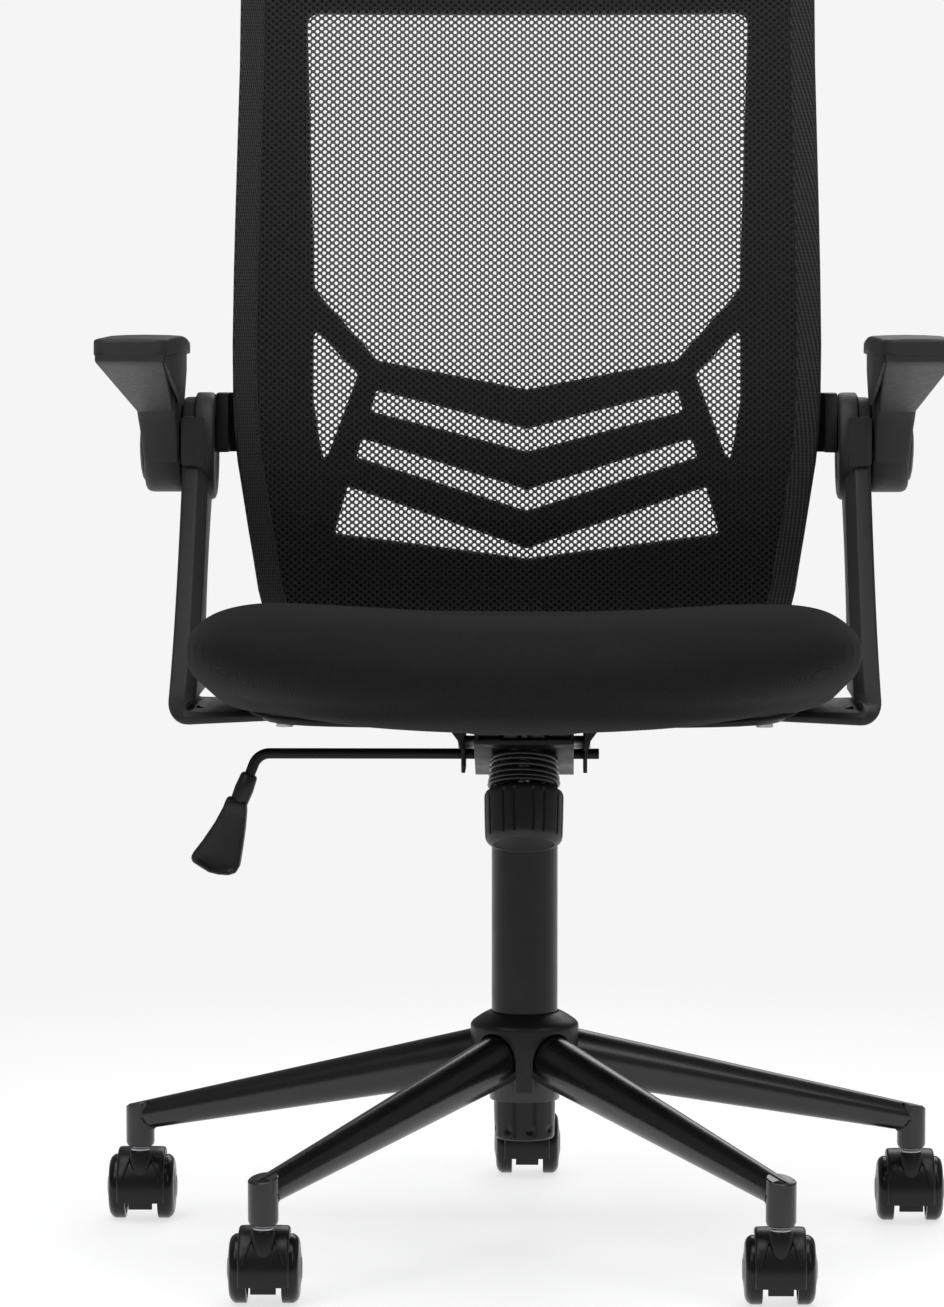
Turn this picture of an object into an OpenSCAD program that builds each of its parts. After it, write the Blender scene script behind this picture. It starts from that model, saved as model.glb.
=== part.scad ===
// Swivel office chair with a mesh back, flip-up armrests, a gas lift, a tilt mechanism and five
// twin-wheel casters. Millimetres, +Z up, the sitter faces -Y. The origin is on the floor, on the
// axis of the gas lift, and left is the sitter's left, +X. Every sub-part is drawn in its place.

/* [Base] */
// Radius of the circle on which the caster stems stand
stem_circle_r = 315; // [300:5:330]
// Outside radius of the plastic hub cover
hub_cover_r = 41; // [40:0.5:43]
// Outside radius of a caster socket at an arm's end
socket_r = 11; // [10:0.5:12]

/* [Casters] */
// Radius of a caster wheel
wheel_r = 25; // [24:0.5:25]
// Overall width of a caster over both wheels
caster_w = 54; // [52:1:56]
// Horizontal distance from a caster's stem to its axle
caster_trail = 20; // [18:1:22]

/* [Gas lift] */
// Outside radius of the pressure tube
tube_r = 25; // [25:0.5:25.5]
// Height of the tube's upper rim
tube_top_z = 352; // [345:1:354]

/* [Seat] */
// Width of the seat cushion
seat_w = 490; // [470:5:490]
// Front-to-back depth of the seat cushion
seat_d = 450; // [430:5:450]
// Height of the seat pan's underside
seat_z = 412; // [412:1:414]
// Height of the cushion's crown above the seat pan
seat_crown = 77; // [76:1:86]

/* [Back] */
// Height of the backrest's upper edge
back_top_z = 1005; // [990:5:1040]
// Horizontal radius of the curved back
back_r = 700; // [650:10:800]
// Thickness of the moulded back frame
back_frame_t = 10; // [8:1:12]

/* [Armrests] */
// Distance from the chair's middle to the outer face of an arm frame
arm_x = 267.5; // [266:0.5:270]
// Height of the armrest pads' upper face
pad_top_z = 691; // [685:1:700]
// Width of an armrest pad
pad_w = 55; // [50:1:60]

/* [Hidden] */
$fn = 96;
eps = 0.01;
far = 400;

// Casters
caster_count = 5;
caster_angles = [for (i = [0 : caster_count - 1]) 90 + i * 360 / caster_count];
stem_r = 5.5;
stem_bore_r = 5.55;
axle_r = 3;
axle_bore_r = 3.06;
wheel_in_x = 12.6;
hood_half_w = 18.4;
hood_r = 31;
hood_in_r = 26.2;
hood_bottom_z = 16;
socket_z = 60;

// Base
arm_slope = 0.2556;
hub_top_z = 180;
hub_crease_z = 170;
hub_skirt_z = 124;
sleeve_r = 26.5;
sleeve_z = [113, 168];
tube_foot_z = 83;
tube_foot_r = 22.6;
tube_taper_z = 175;

// Gas lift
tube_wall = 1.5;
cylinder_r = 14;
cylinder_z = [150, 391];
rod_r = 5;
pin_r = 3;

// Tilt mechanism
plate_t = 3;
seat_pan_t = 4;
tilt_axle = [-42, 388];
tilt_axle_r = 5;
channel_x = 37;
channel_z = 361;
ear_x = [44, 47];
lever_y = -28;
lever_z = 378;
lever_r = 4;
lever_bend = [-204.5, 13];
knob_tilt = 20;
knob_origin = [0, -70, 381];
knob_t = [27, 69];
knob_r = 29.5;
spring_r = 24.5;
spring_wire_r = 1.9;
rocker_pin = [-20.5, 391.8];

// Arms
hub_y = 170;
hub_z = 602;
hub_r = 42;
pin_arm_r = 8;
beam_x = [269, 298];
pad_x = 290.5;

// Back: the front surface's distance behind the lift axis, at the middle of the back
back_profile = [[440, 221], [470, 216], [500, 212], [540, 208], [580, 206], [620, 207], [660, 211],
    [710, 218], [760, 227], [820, 239], [880, 251], [940, 264], [1060, 290]];
// Half width of the back against height
back_outline = [[446, 199.5], [470, 207], [488, 211.2], [512, 214.7], [535, 218.3], [559, 221.8],
    [590, 226.5], [615, 228.9], [640, 229.9], [700, 230.3], [800, 228.8], [900, 226.8]];
back_corner_r = 45;

// ---------------------------------------------------------------- helpers

// Points on an arc in the plane, from angle a0 to a1
function arc(c, r, a0, a1, n = 8) =
    [for (i = [0 : n]) let (a = a0 + (a1 - a0) * i / n) [c[0] + r * cos(a), c[1] + r * sin(a)]];

// A cubic Bezier curve's point
function bezier(p, t) = pow(1 - t, 3) * p[0] + 3 * t * pow(1 - t, 2) * p[1]
    + 3 * t * t * (1 - t) * p[2] + pow(t, 3) * p[3];

// Extrudes an outline given as [y, z] along X, from x0 to x1
module side_prism(x0, x1, points) {
    translate([x0, 0, 0]) rotate([90, 0, 90]) linear_extrude(x1 - x0) polygon(points);
}

// Extrudes an outline given as [x, z] along Y, from y0 to y1
module front_prism(y0, y1, points) {
    translate([0, y1, 0]) rotate([90, 0, 0]) linear_extrude(y1 - y0) polygon(points);
}

// A cylinder along X between x0 and x1, at the given y and z
module x_rod(x0, x1, yz, r) {
    translate([x0, yz[0], yz[1]]) rotate([0, 90, 0]) cylinder(h = x1 - x0, r = r);
}

// Places its children in the knob's frame: -Z runs down the tension bolt
module on_knob_axis() {
    translate(knob_origin) rotate([-knob_tilt, 0, 0]) children();
}

module on_side(left) {
    if (left) children();
    else mirror([1, 0, 0]) children();
}

// ---------------------------------------------------------------- base

// The outline of an arm: an oval that tapers from the hub to the socket
module oval_taper(grow, u0, u1, drop = 0) {
    span = 264;
    hull() for (u = [u0, u1], d = [0, drop]) {
        s = (u - 40) / span;
        z_mid = 144.5 - 58.5 * s - d;
        half_h = 20.7 - 9.2 * s + grow;
        half_w = 16.5 - 6.3 * s + grow;
        translate([u, 0, z_mid]) rotate([0, 90, 0]) linear_extrude(eps)
            polygon([for (a = [0 : 360 / 24 : 359]) [half_h * cos(a), half_w * sin(a)]]);
    }
}

// A steel tube with the caster's socket welded on; the tube is drawn hollow up to the socket
module base_arm(i) {
    color([0.05, 0.05, 0.05]) rotate([0, 0, caster_angles[i]]) difference() {
        union() {
            oval_taper(0, sleeve_r + 0.1, stem_circle_r + 7);
            difference() {
                translate([stem_circle_r, 0, socket_z]) rotate([0, 0, 15])
                    cylinder(h = 40, r = socket_r, $fn = 12);
                translate([stem_circle_r, 0, 163.5 - arm_slope * (stem_circle_r - 40)])
                    rotate([0, atan(arm_slope), 0]) translate([-50, -50, 0]) cube([100, 100, 50]);
            }
        }
        oval_taper(-1.8, 20, stem_circle_r - socket_r - 2);
        translate([stem_circle_r, 0, socket_z - 1]) cylinder(h = 27, r = stem_bore_r);
    }
}

// Radius of the pressure tube's outside at height z
function tube_outside(z) = z >= tube_taper_z ? tube_r
    : tube_foot_r + (tube_r - tube_foot_r) * (z - tube_foot_z) / (tube_taper_z - tube_foot_z);

module base_hub_sleeve() {
    color([0.06, 0.06, 0.06]) rotate_extrude() polygon([
        [tube_outside(sleeve_z[0]) + 0.05, sleeve_z[0]], [sleeve_r, sleeve_z[0]],
        [sleeve_r, sleeve_z[1]], [tube_outside(sleeve_z[1]) + 0.05, sleeve_z[1]]]);
}

module hub_cover() {
    in_r = sleeve_r + 0.4;
    color([0.1, 0.1, 0.1]) difference() {
        rotate_extrude() polygon(concat(
            [[in_r, hub_skirt_z], [hub_cover_r - 2, hub_skirt_z], [hub_cover_r, hub_crease_z]],
            arc([hub_cover_r - 9, hub_crease_z], 9, 20, 80, 5),
            [[hub_cover_r - 9, hub_top_z], [tube_r + 0.5, hub_top_z - 3],
            [tube_r + 0.5, sleeve_z[1] + 0.5], [in_r, sleeve_z[1] + 0.5]]));
        for (a = caster_angles) rotate([0, 0, a]) oval_taper(1, 10, 60, 60);
    }
}

// ---------------------------------------------------------------- casters

// Draws its children at caster i, with the stem on the Z axis
module at_caster(i) {
    a = caster_angles[i];
    translate([stem_circle_r * cos(a), stem_circle_r * sin(a), 0]) children();
}

// One wheel's section as [radius, x]: flat tread, domed outer face, recessed inner face
function wheel_section() = let (out_x = caster_w / 2, edge_x = out_x - 6.5) concat(
    [[axle_bore_r, wheel_in_x], [8, wheel_in_x], [8, wheel_in_x + 3], [wheel_r - 4, wheel_in_x + 3],
    [wheel_r - 4, wheel_in_x], [wheel_r - 0.8, wheel_in_x], [wheel_r, wheel_in_x + 0.8], [wheel_r, edge_x]],
    [for (a = [18 : 18 : 90]) [wheel_r - 8 + 8 * cos(a), edge_x + 5 * sin(a)]],
    [[10, out_x - 0.6], [8, out_x], [0, out_x], [0, out_x - 4], [axle_bore_r, out_x - 4]]);

module caster_wheel(i, side) {
    color([0.05, 0.05, 0.05]) at_caster(i) translate([0, caster_trail, wheel_r])
        rotate([0, side * 90, 0]) rotate_extrude() polygon(wheel_section());
}

module caster_housing(i) {
    body_x = wheel_in_x - 0.6;
    top_z = wheel_r + hood_r;
    color([0.07, 0.07, 0.07]) at_caster(i) difference() {
        union() {
            intersection() {
                difference() {
                    x_rod(-hood_half_w, hood_half_w, [caster_trail, wheel_r], hood_r);
                    x_rod(-far, far, [caster_trail, wheel_r], hood_in_r);
                }
                side_prism(-far, far, [[-60, hood_bottom_z], [caster_trail - 10, hood_bottom_z],
                    [caster_trail, wheel_r], [caster_trail + 16, top_z + 5], [-60, top_z + 5]]);
            }
            intersection() {
                x_rod(-body_x, body_x, [caster_trail, wheel_r], hood_in_r + 2);
                side_prism(-far, far, [[-60, hood_bottom_z], [caster_trail + 8, hood_bottom_z],
                    [caster_trail + 12, wheel_r], [caster_trail + 16, top_z + 5], [-60, top_z + 5]]);
            }
            translate([0, 0, 31]) cylinder(h = top_z - 30.6, r = 8.5);
        }
        translate([0, 0, 34]) cylinder(h = 40, r = stem_r + 0.02);
        x_rod(-far, far, [caster_trail, wheel_r], axle_r + 0.02);
    }
}

module caster_stem_and_axle(i) {
    color("silver") at_caster(i) {
        translate([0, 0, 34.2]) cylinder(h = 50, r = stem_r);
        translate([0, 0, wheel_r + hood_r + 0.6]) cylinder(h = 1.6, r = 7.2);
        x_rod(-caster_w / 2 + 4.3, caster_w / 2 - 4.3, [caster_trail, wheel_r], axle_r);
    }
}

// ---------------------------------------------------------------- gas lift

module pressure_tube() {
    in_r = tube_r - tube_wall;
    color([0.08, 0.08, 0.08]) rotate_extrude() polygon([
        [tube_foot_r - tube_wall, tube_foot_z], [tube_foot_r, tube_foot_z], [tube_r, tube_taper_z],
        [tube_r, tube_top_z], [in_r, tube_top_z], [in_r, tube_taper_z], [tube_outside(90) - tube_wall, 90],
        [rod_r + 0.5, 90], [rod_r + 0.5, 86], [tube_outside(86) - tube_wall, 86]]);
}

module guide_bush() {
    color("dimgray") rotate_extrude() polygon([[cylinder_r + 0.06, 292], [tube_r - tube_wall - 0.05, 292],
        [tube_r - tube_wall - 0.05, tube_top_z + 0.05], [tube_r - 0.4, tube_top_z + 0.05],
        [tube_r - 0.4, tube_top_z + 2], [cylinder_r + 0.06, tube_top_z + 2]]);
}

module thrust_bearing() {
    color("gray") difference() {
        union() {
            translate([0, 0, 90.05]) cylinder(h = 1.4, r = 15);
            translate([0, 0, 91.4]) cylinder(h = 2.9, r = 14);
            translate([0, 0, 94.2]) cylinder(h = 1.4, r = 15);
        }
        translate([0, 0, 80]) cylinder(h = 30, r = rod_r + 0.6);
    }
}

module piston_rod() {
    color("silver") {
        translate([0, 0, 83.4]) cylinder(h = 202, r = rod_r);
        translate([0, 0, 83.4]) cylinder(h = 2.4, r = 8);
        translate([0, 0, 95.8]) cylinder(h = 3, r = 9);
        translate([0, 0, 285]) cylinder(h = 15, r = cylinder_r - 2.1);
    }
}

module gas_cylinder() {
    color("silver") difference() {
        rotate_extrude() polygon([[0, cylinder_z[0]], [cylinder_r - 1, cylinder_z[0]],
            [cylinder_r, cylinder_z[0] + 1], [cylinder_r, cylinder_z[1] - 1],
            [cylinder_r - 1, cylinder_z[1]], [0, cylinder_z[1]]]);
        translate([0, 0, cylinder_z[0] + 6]) cylinder(h = 216, r = cylinder_r - 2);
        translate([0, 0, cylinder_z[0] - 1]) cylinder(h = 10, r = rod_r + 0.06);
        translate([0, 0, 370]) cylinder(h = 30, r = pin_r + 0.06);
    }
}

module release_pin() {
    color("silver") translate([0, 0, 368]) cylinder(h = 28.5, r = pin_r);
}

// ---------------------------------------------------------------- tilt mechanism

module mechanism_channel() {
    front_z = knob_origin[2] + (knob_origin[1] + 98) * tan(knob_tilt);
    bend_y = knob_origin[1] + (knob_origin[2] - channel_z) / tan(knob_tilt);
    top = [[-98, front_z + 4], [-60, 399], [-42, 399], [0, 396], [55, 384]];
    floor_t = plate_t / cos(knob_tilt);
    color([0.06, 0.06, 0.06]) difference() {
        union() {
            difference() {
                side_prism(-channel_x, channel_x,
                    concat([[55, channel_z], [bend_y, channel_z], [-98, front_z]], top));
                side_prism(-channel_x + plate_t, channel_x - plate_t,
                    [[56, channel_z + plate_t], [bend_y, channel_z + plate_t], [-99, front_z + floor_t + 0.36],
                    [-99, far * 2], [56, far * 2]]);
            }
            translate([0, 0, channel_z + 1]) cylinder(h = 27, r = 19);
        }
        translate([0, 0, channel_z - 1]) cylinder(h = 40, r = cylinder_r + 0.05);
        x_rod(-far, far, tilt_axle, tilt_axle_r + 0.05);
        x_rod(-far, far, rocker_pin, 2.55);
        side_prism(-far, far, [[lever_y - 4.6, lever_z - 4.6], [lever_y + 4.6, lever_z - 4.6],
            [lever_y + 4.6, lever_z + 13.6], [lever_y - 4.6, lever_z + 13.6]]);
        on_knob_axis() for (dy = [-5, 0]) translate([0, dy, -6]) cylinder(h = 14, r = 5);
    }
}

module mechanism_axles() {
    color("silver") {
        x_rod(-49.5, 49.5, tilt_axle, tilt_axle_r);
        x_rod(-36.9, 36.9, rocker_pin, 2.5);
    }
}

// A bent strip on the rocker pin: the lever lifts its front end, its rear end presses the pin
module release_rocker() {
    color("gray") difference() {
        side_prism(-7, 7, [[-34, 384.4], [-26, 384.4], [-23, 387], [-20, 387.8], [-17.5, 391.5], [-6, 397],
            [5, 397], [5, 399.6], [-8, 399.6], [-17, 398.5], [-25, 393.5], [-30, 386.8], [-34, 386.6]]);
        x_rod(-far, far, rocker_pin, 2.55);
    }
}

module tilt_lock_slider() {
    color([0.15, 0.15, 0.15]) difference() {
        side_prism(20, 33, [[lever_y - 6.5, 371.5], [lever_y + 6.5, 366.8], [lever_y + 6.5, 388.8],
            [lever_y - 6.5, 388.8]]);
        side_prism(-far, far, [[lever_y - 4.2, lever_z - 4.1], [lever_y + 4.2, lever_z - 4.1],
            [lever_y + 4.2, lever_z + 8.5], [lever_y - 4.2, lever_z + 8.5]]);
    }
}

// A round bar along a path in the XZ plane, whose points are [x, z, heading]
module bent_bar(path, r, sides = 16) {
    points = [for (p = path, k = [0 : sides - 1]) let (b = k * 360 / sides)
        [p[0] - r * cos(b) * sin(p[2]), r * sin(b), p[1] + r * cos(b) * cos(p[2])]];
    n = len(path) - 1;
    walls = [for (i = [0 : n - 1], k = [0 : sides - 1]) let (k2 = (k + 1) % sides)
        [i * sides + k, (i + 1) * sides + k, (i + 1) * sides + k2, i * sides + k2]];
    caps = [[for (k = [0 : sides - 1]) k], [for (k = [0 : sides - 1]) n * sides + sides - 1 - k]];
    polyhedron(points, concat(walls, caps));
}

// The rod runs across the mechanism, bends down at its outer end and enters the paddle
module lift_lever_rod() {
    x0 = lever_bend[0] + lever_bend[1];
    q = lever_bend[1];
    color([0.05, 0.05, 0.05]) translate([0, lever_y, lever_z]) bent_bar(concat([[56, 0, 180]],
        [for (a = [0 : 9.8 : 68.6]) [x0 - q * sin(a), -q * (1 - cos(a)), 180 + a]],
        [[x0 - q * sin(68.6) - 50 * cos(68.6), -q * (1 - cos(68.6)) - 50 * sin(68.6), 248.6]]), lever_r);
}

// The place where the rod's slanted end starts
function lever_end() = [lever_bend[0] + lever_bend[1] - lever_bend[1] * sin(68.6), lever_y,
    lever_z - lever_bend[1] * (1 - cos(68.6))];

module lift_lever_paddle() {
    color([0.05, 0.05, 0.05]) difference() {
        front_prism(lever_y - 7, lever_y + 7, [[-223.9, 344.7], [-209.6, 341], [-211.4, 318],
            [-213.3, 293.5], [-216.8, 288.4], [-223, 286], [-230.5, 286.2], [-236.7, 289],
            [-247.5, 297], [-251, 301.8], [-248, 309]]);
        translate(lever_end()) rotate([0, 21.4, 0]) translate([0, 0, -50.2])
            cylinder(h = 60, r = lever_r + 0.25, $fn = 12);
    }
}

module tension_bolt() {
    color("silver") on_knob_axis() {
        translate([0, 0, -knob_t[1] + 5]) cylinder(h = knob_t[1] + 14, r = 4);
        translate([0, 0, 17]) cylinder(h = 5.5, r = 7.5, $fn = 6);
    }
}

// A helix of round wire as one closed polyhedron
module tension_spring() {
    turns = 5.5;
    steps = 24;
    sides = 8;
    rings = turns * steps;
    length = knob_t[0] - 2 * spring_wire_r - 0.8;
    points = [for (i = [0 : rings], k = [0 : sides - 1])
        let (a = i * 360 / steps, b = k * 360 / sides, rr = spring_r + 2 * i / rings
            + spring_wire_r * cos(b))
        [rr * cos(a), rr * sin(a), -spring_wire_r - 0.4 - length * i / rings + spring_wire_r * sin(b)]];
    walls = [for (i = [0 : rings - 1], k = [0 : sides - 1]) let (k2 = (k + 1) % sides)
        [i * sides + k, i * sides + k2, (i + 1) * sides + k2, (i + 1) * sides + k]];
    caps = [[for (k = [0 : sides - 1]) sides - 1 - k], [for (k = [0 : sides - 1]) rings * sides + k]];
    color([0.05, 0.05, 0.05]) on_knob_axis() polyhedron(points, concat(walls, caps));
}

module tension_knob() {
    groove_n = 18;
    color([0.08, 0.08, 0.08]) on_knob_axis() difference() {
        rotate_extrude() polygon([[4.05, -knob_t[0]], [knob_r - 5, -knob_t[0]], [knob_r, -knob_t[0] - 4],
            [knob_r - 1, -knob_t[1] + 3], [knob_r - 4.5, -knob_t[1]], [0, -knob_t[1]],
            [0, -knob_t[1] + 4.5], [4.05, -knob_t[1] + 4.5]]);
        for (i = [0 : groove_n - 1]) rotate([0, 0, (i + 0.5) * 360 / groove_n])
            translate([knob_r - 0.9, -0.6, -knob_t[1] + 4]) cube([3, 1.2, knob_t[1] - knob_t[0] - 9]);
    }
}

module seat_plate() {
    plate_z = seat_z - plate_t;
    strap_z = 391;
    color([0.06, 0.06, 0.06]) difference() {
        union() {
            translate([-95, -100, plate_z]) cube([190, 210, plate_t]);
            for (left = [0, 1]) on_side(left == 1) {
                side_prism(ear_x[0], ear_x[1],
                    [[-62, 372], [-56, 366], [-16, 366], [-8, 372], [2, plate_z + 1], [-66, plate_z + 1]]);
                front_prism(-64, -61, concat([[ear_x[0], 384], [ear_x[1], 384]],
                    [for (a = [0 : 18 : 90]) [80 - 32 * cos(a), 384 + 22 * sin(a)]],
                    [[86, plate_z + 1], [ear_x[0], plate_z + 1]]));
            }
            translate([-18, -78, strap_z]) cube([36, 28, plate_z - strap_z + 1]);
        }
        translate([-15, -79, strap_z + plate_t]) cube([30, 30, plate_z - strap_z - plate_t]);
        on_knob_axis() translate([0, 0, 4]) cylinder(h = 13, r = 4.6);
        x_rod(-far, far, tilt_axle, tilt_axle_r + 0.05);
        side_prism(-far, far, [[lever_y - 4.7, lever_z - 4.7], [lever_y + 6.6, lever_z - 4.7],
            [lever_y + 6.6, lever_z + 17], [lever_y - 4.7, lever_z + 17]]);
        for (x = [-80, 80], y = [-80, 90]) translate([x, y, plate_z - 1]) cylinder(h = 6, r = 3.3);
    }
}

// ---------------------------------------------------------------- seat

// Plan outline of the seat, drawn in by inset
// Narrower at the rear, and wider in front of the arms
function seat_plan(inset) = let (w = seat_w / 2 - inset, f = -255 + inset, b = -255 + seat_d - inset,
        n = 40)
    [for (i = [0 : n - 1]) let (a = i * 360 / n, c = cos(a), s = sin(a), p = 0.42,
        y = (b + f) / 2 + (b - f) / 2 * sign(s) * pow(abs(s), p), t = max(0, min(1, (-15 - y) / 60)))
        [w * (s > 0 ? 1 - 0.07 * s : 1 + 0.038 * t * t * (3 - 2 * t)) * sign(c) * pow(abs(c), p), y]];

module seat_pan() {
    color([0.06, 0.06, 0.06]) difference() {
        translate([0, 0, seat_z]) linear_extrude(seat_pan_t) polygon(seat_plan(58));
        for (x = [-80, 80], y = [-80, 90]) translate([x, y, seat_z - 1]) cylinder(h = 14, r = 3.1);
        for (x = [-180, 180], y = [-30, 50]) translate([x, y, seat_z - 1]) cylinder(h = 14, r = 3.1);
    }
}

module seat_bolts() {
    color("silver") for (x = [-80, 80], y = [-80, 90]) translate([x, y, 0]) {
        translate([0, 0, seat_z - plate_t - 4.05]) cylinder(h = 4, r = 6);
        translate([0, 0, seat_z - plate_t - 1]) cylinder(h = 7.5, r = 3);
    }
}

module seat_cushion() {
    layers = [[0, 58], [5, 38], [12, 20], [22, 7], [36, 0], [50, 0], [60, 5], [68, 15], [75, 32],
        [seat_crown, 60]];
    // The top slopes down to the rear; the underside hangs lower along the front edge
    function slope(y, h) = -14 * (y + 195) / 350 * max(0, (h - 50) / 27);
    function nose(x, y, h) = -7 * max(0, min(1, (-200 - y) / 40)) * exp(-x * x / 29000) * max(0, 1 - h / 40);
    rings = [for (k = layers) [for (p = seat_plan(k[1]))
        [p[0], p[1], seat_z + seat_pan_t + 0.3 + k[0] + slope(p[1], k[0]) + nose(p[0], p[1], k[0])]]];
    m = len(rings[0]);
    n = len(rings);
    walls = [for (r = [0 : n - 2], c = [0 : m - 1]) let (k = r * m + c, d = r * m + (c + 1) % m)
        each [[k, k + m, d + m], [k, d + m, d]]];
    caps = [[for (c = [0 : m - 1]) c], [for (c = [m - 1 : -1 : 0]) (n - 1) * m + c]];
    color([0.1, 0.1, 0.1]) polyhedron([for (r = rings, q = r) q], concat(walls, caps));
}

// ---------------------------------------------------------------- arms

// Side outline of an arm frame's upright, from the seat foot up and back to the hub
function upright_edge(p) = [for (i = [0 : 10]) bezier(p, i / 10)];
function upright_outline() = concat(
    upright_edge([[-60, 402], [10, 440], [70, 500], [133, 590]]),
    arc([hub_y, hub_z], hub_r, 150, -30, 14),
    upright_edge([[204, 576], [130, 520], [95, 470], [90, 402]]));

module arm_frame(left) {
    x_in = arm_x - 20;
    foot_top = seat_z - 0.5;
    color([0.08, 0.08, 0.08]) on_side(left) difference() {
        union() {
            intersection() {
                side_prism(x_in, arm_x, upright_outline());
                front_prism(-far, far, concat([[x_in - 1, 700], [x_in - 1, 402], [arm_x - 16, 402]],
                    arc([arm_x - 16, 418], 16, -75, 0, 6), [[arm_x, 700]]));
            }
            x_rod(243, arm_x, [hub_y, hub_z], hub_r - 2);
            intersection() {
                front_prism(-60, 90, [[152, foot_top - 6], [158, 404], [x_in + 2, 402],
                    [x_in + 2, 422], [x_in - 2, 421], [225, foot_top], [152, foot_top]]);
                translate([0, 0, 380]) linear_extrude(60) polygon([[150, -28], [180, -48], [far, -60],
                    [far, 90], [180, 70], [150, 50]]);
            }
        }
        for (y = [-30, 50]) translate([180, y, 390]) cylinder(h = 40, r = 3.2);
        x_rod(arm_x - 16, arm_x + 1, [hub_y, hub_z], pin_arm_r + 0.02);
        x_rod(242, 251.5, [hub_y + 22, 620], 6.05);
    }
}

module arm_bolts() {
    color("silver") for (x = [-180, 180], y = [-30, 50]) translate([x, y, 0]) {
        translate([0, 0, 398.5]) cylinder(h = 4.4, r = 6.5);
        translate([0, 0, 400]) cylinder(h = 15.5, r = 3);
    }
}

module arm_pivot_pins() {
    color("silver") for (left = [false, true]) on_side(left) {
        x_rod(arm_x - 15.9, beam_x[1] - 3, [hub_y, hub_z], pin_arm_r);
    }
}

// Side outline of the moving armrest: hub, neck and the slanted underside of the beam
function beam_outline() = concat(
    [[-96, pad_top_z - 13.3], [-98, pad_top_z - 16], [-92, pad_top_z - 19]],
    upright_edge([[40, 648], [110, 634], [125, 622], [134.5, 594]]),
    arc([hub_y, hub_z], 36, 193, 350, 12),
    upright_edge([[206.5, 606], [208, 632], [196, 650], [186, 667]]),
    [[180, pad_top_z - 17.5], [120, pad_top_z - 13.3]]);

module armrest_beam(left) {
    color([0.1, 0.1, 0.1]) on_side(left) difference() {
        union() {
            intersection() {
                side_prism(beam_x[0], 320, beam_outline());
                linear_extrude(800) polygon([[beam_x[0] - 2, -100], [315, -100], [306, 60], [beam_x[1], 120],
                    [beam_x[1], 210], [beam_x[0], 210], [beam_x[0], 120], [beam_x[0] - 2, 60]]);
            }
        }
        x_rod(beam_x[0] - 1, beam_x[1] - 2.9, [hub_y, hub_z], pin_arm_r + 0.05);
        x_rod(beam_x[1] - 1.5, beam_x[1] + 1, [hub_y, hub_z], 27.1);
    }
}

module armrest_pad(left) {
    z = pad_top_z;
    x0 = pad_x - pad_w / 2;
    x1 = pad_x + pad_w / 2;
    color([0.12, 0.12, 0.12]) on_side(left) intersection() {
        side_prism(x0, x1, [[-100, z - 12], [-98, z - 4], [-90, z - 0.6], [-60, z], [60, z], [120, z - 1.5],
            [165, z - 5], [182, z - 9], [185, z - 14], [182, z - 17], [120, z - 13], [-98, z - 13]]);
        translate([0, 0, 600]) linear_extrude(200) polygon(concat(
            arc([x0 + 12, -88], 12, 180, 270, 6), arc([x1 - 12, -88], 12, 270, 360, 6),
            [[x1, 60]], arc([x1 - 14, 160], 12, 0, 90, 6), arc([x0 + 20, 172], 13, 90, 170, 6),
            [[x0, 60]]));
    }
}

module armrest_cap(left) {
    color([0.09, 0.09, 0.09]) on_side(left)
        translate([beam_x[1] - 1.4, hub_y, hub_z]) rotate([0, 90, 0]) rotate_extrude()
            polygon([[0, 0], [27, 0], [27, 2.6], [24, 4.4], [12, 5.6], [0, 6]]);
}

// ---------------------------------------------------------------- back

// Half width of the back at each height of its outline, and its rounded top
function back_edge() = concat([for (p = back_outline) p[0] < 900 ? [p[1], p[0]] : [p[1], p[0]]],
    arc([227 - back_corner_r, back_top_z - back_corner_r], back_corner_r, 0, 90, 8));

// The whole outline as [x, z], grown by the given amount
function back_loop(grow) = let (half = back_edge()) concat(
    [for (p = half) [p[0] + grow, p[1] + (p[1] > 950 ? grow : p[1] < 450 ? -grow : 0)]],
    [for (i = [len(half) - 1 : -1 : 0]) let (p = half[i])
        [-p[0] - grow, p[1] + (p[1] > 950 ? grow : p[1] < 450 ? -grow : 0)]]);

// A shell of the back's double-curved surface, between two depths behind its front
module back_shell(d0, d1) {
    centre_y = 206 - back_r;
    xs = [for (c = [0 : 15]) (c - 7.5) * 32.5];
    zs = [438, 475, 507, 545, 583, 621, 661, 709, 757, 818, 879, 938, 1058];
    m = len(xs);
    n = len(zs);
    side = m * n;
    points = [for (d = [d0, d1], z = zs, x = xs)
        [x, centre_y + sqrt(pow(lookup(z, back_profile) - centre_y + d, 2) - x * x), z]];
    // The four corners of each patch, clockwise from outside
    quads = concat(
        [for (r = [0 : n - 2], c = [0 : m - 2]) let (k = r * m + c) [k, k + m, k + m + 1, k + 1]],
        [for (r = [0 : n - 2], c = [0 : m - 2]) let (k = side + r * m + c) [k, k + 1, k + m + 1, k + m]],
        [for (c = [0 : m - 2]) [c, c + 1, side + c + 1, side + c]],
        [for (c = [0 : m - 2]) let (k = (n - 1) * m + c) [k + 1, k, side + k, side + k + 1]],
        [for (r = [0 : n - 2]) let (k = r * m) [k + m, k, side + k, side + k + m]],
        [for (r = [0 : n - 2]) let (k = r * m + m - 1) [k, k + m, side + k + m, side + k]]);
    polyhedron(points, [for (q = quads, t = [[0, 1, 2], [0, 2, 3]]) [for (v = t) q[v]]]);
}

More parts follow.
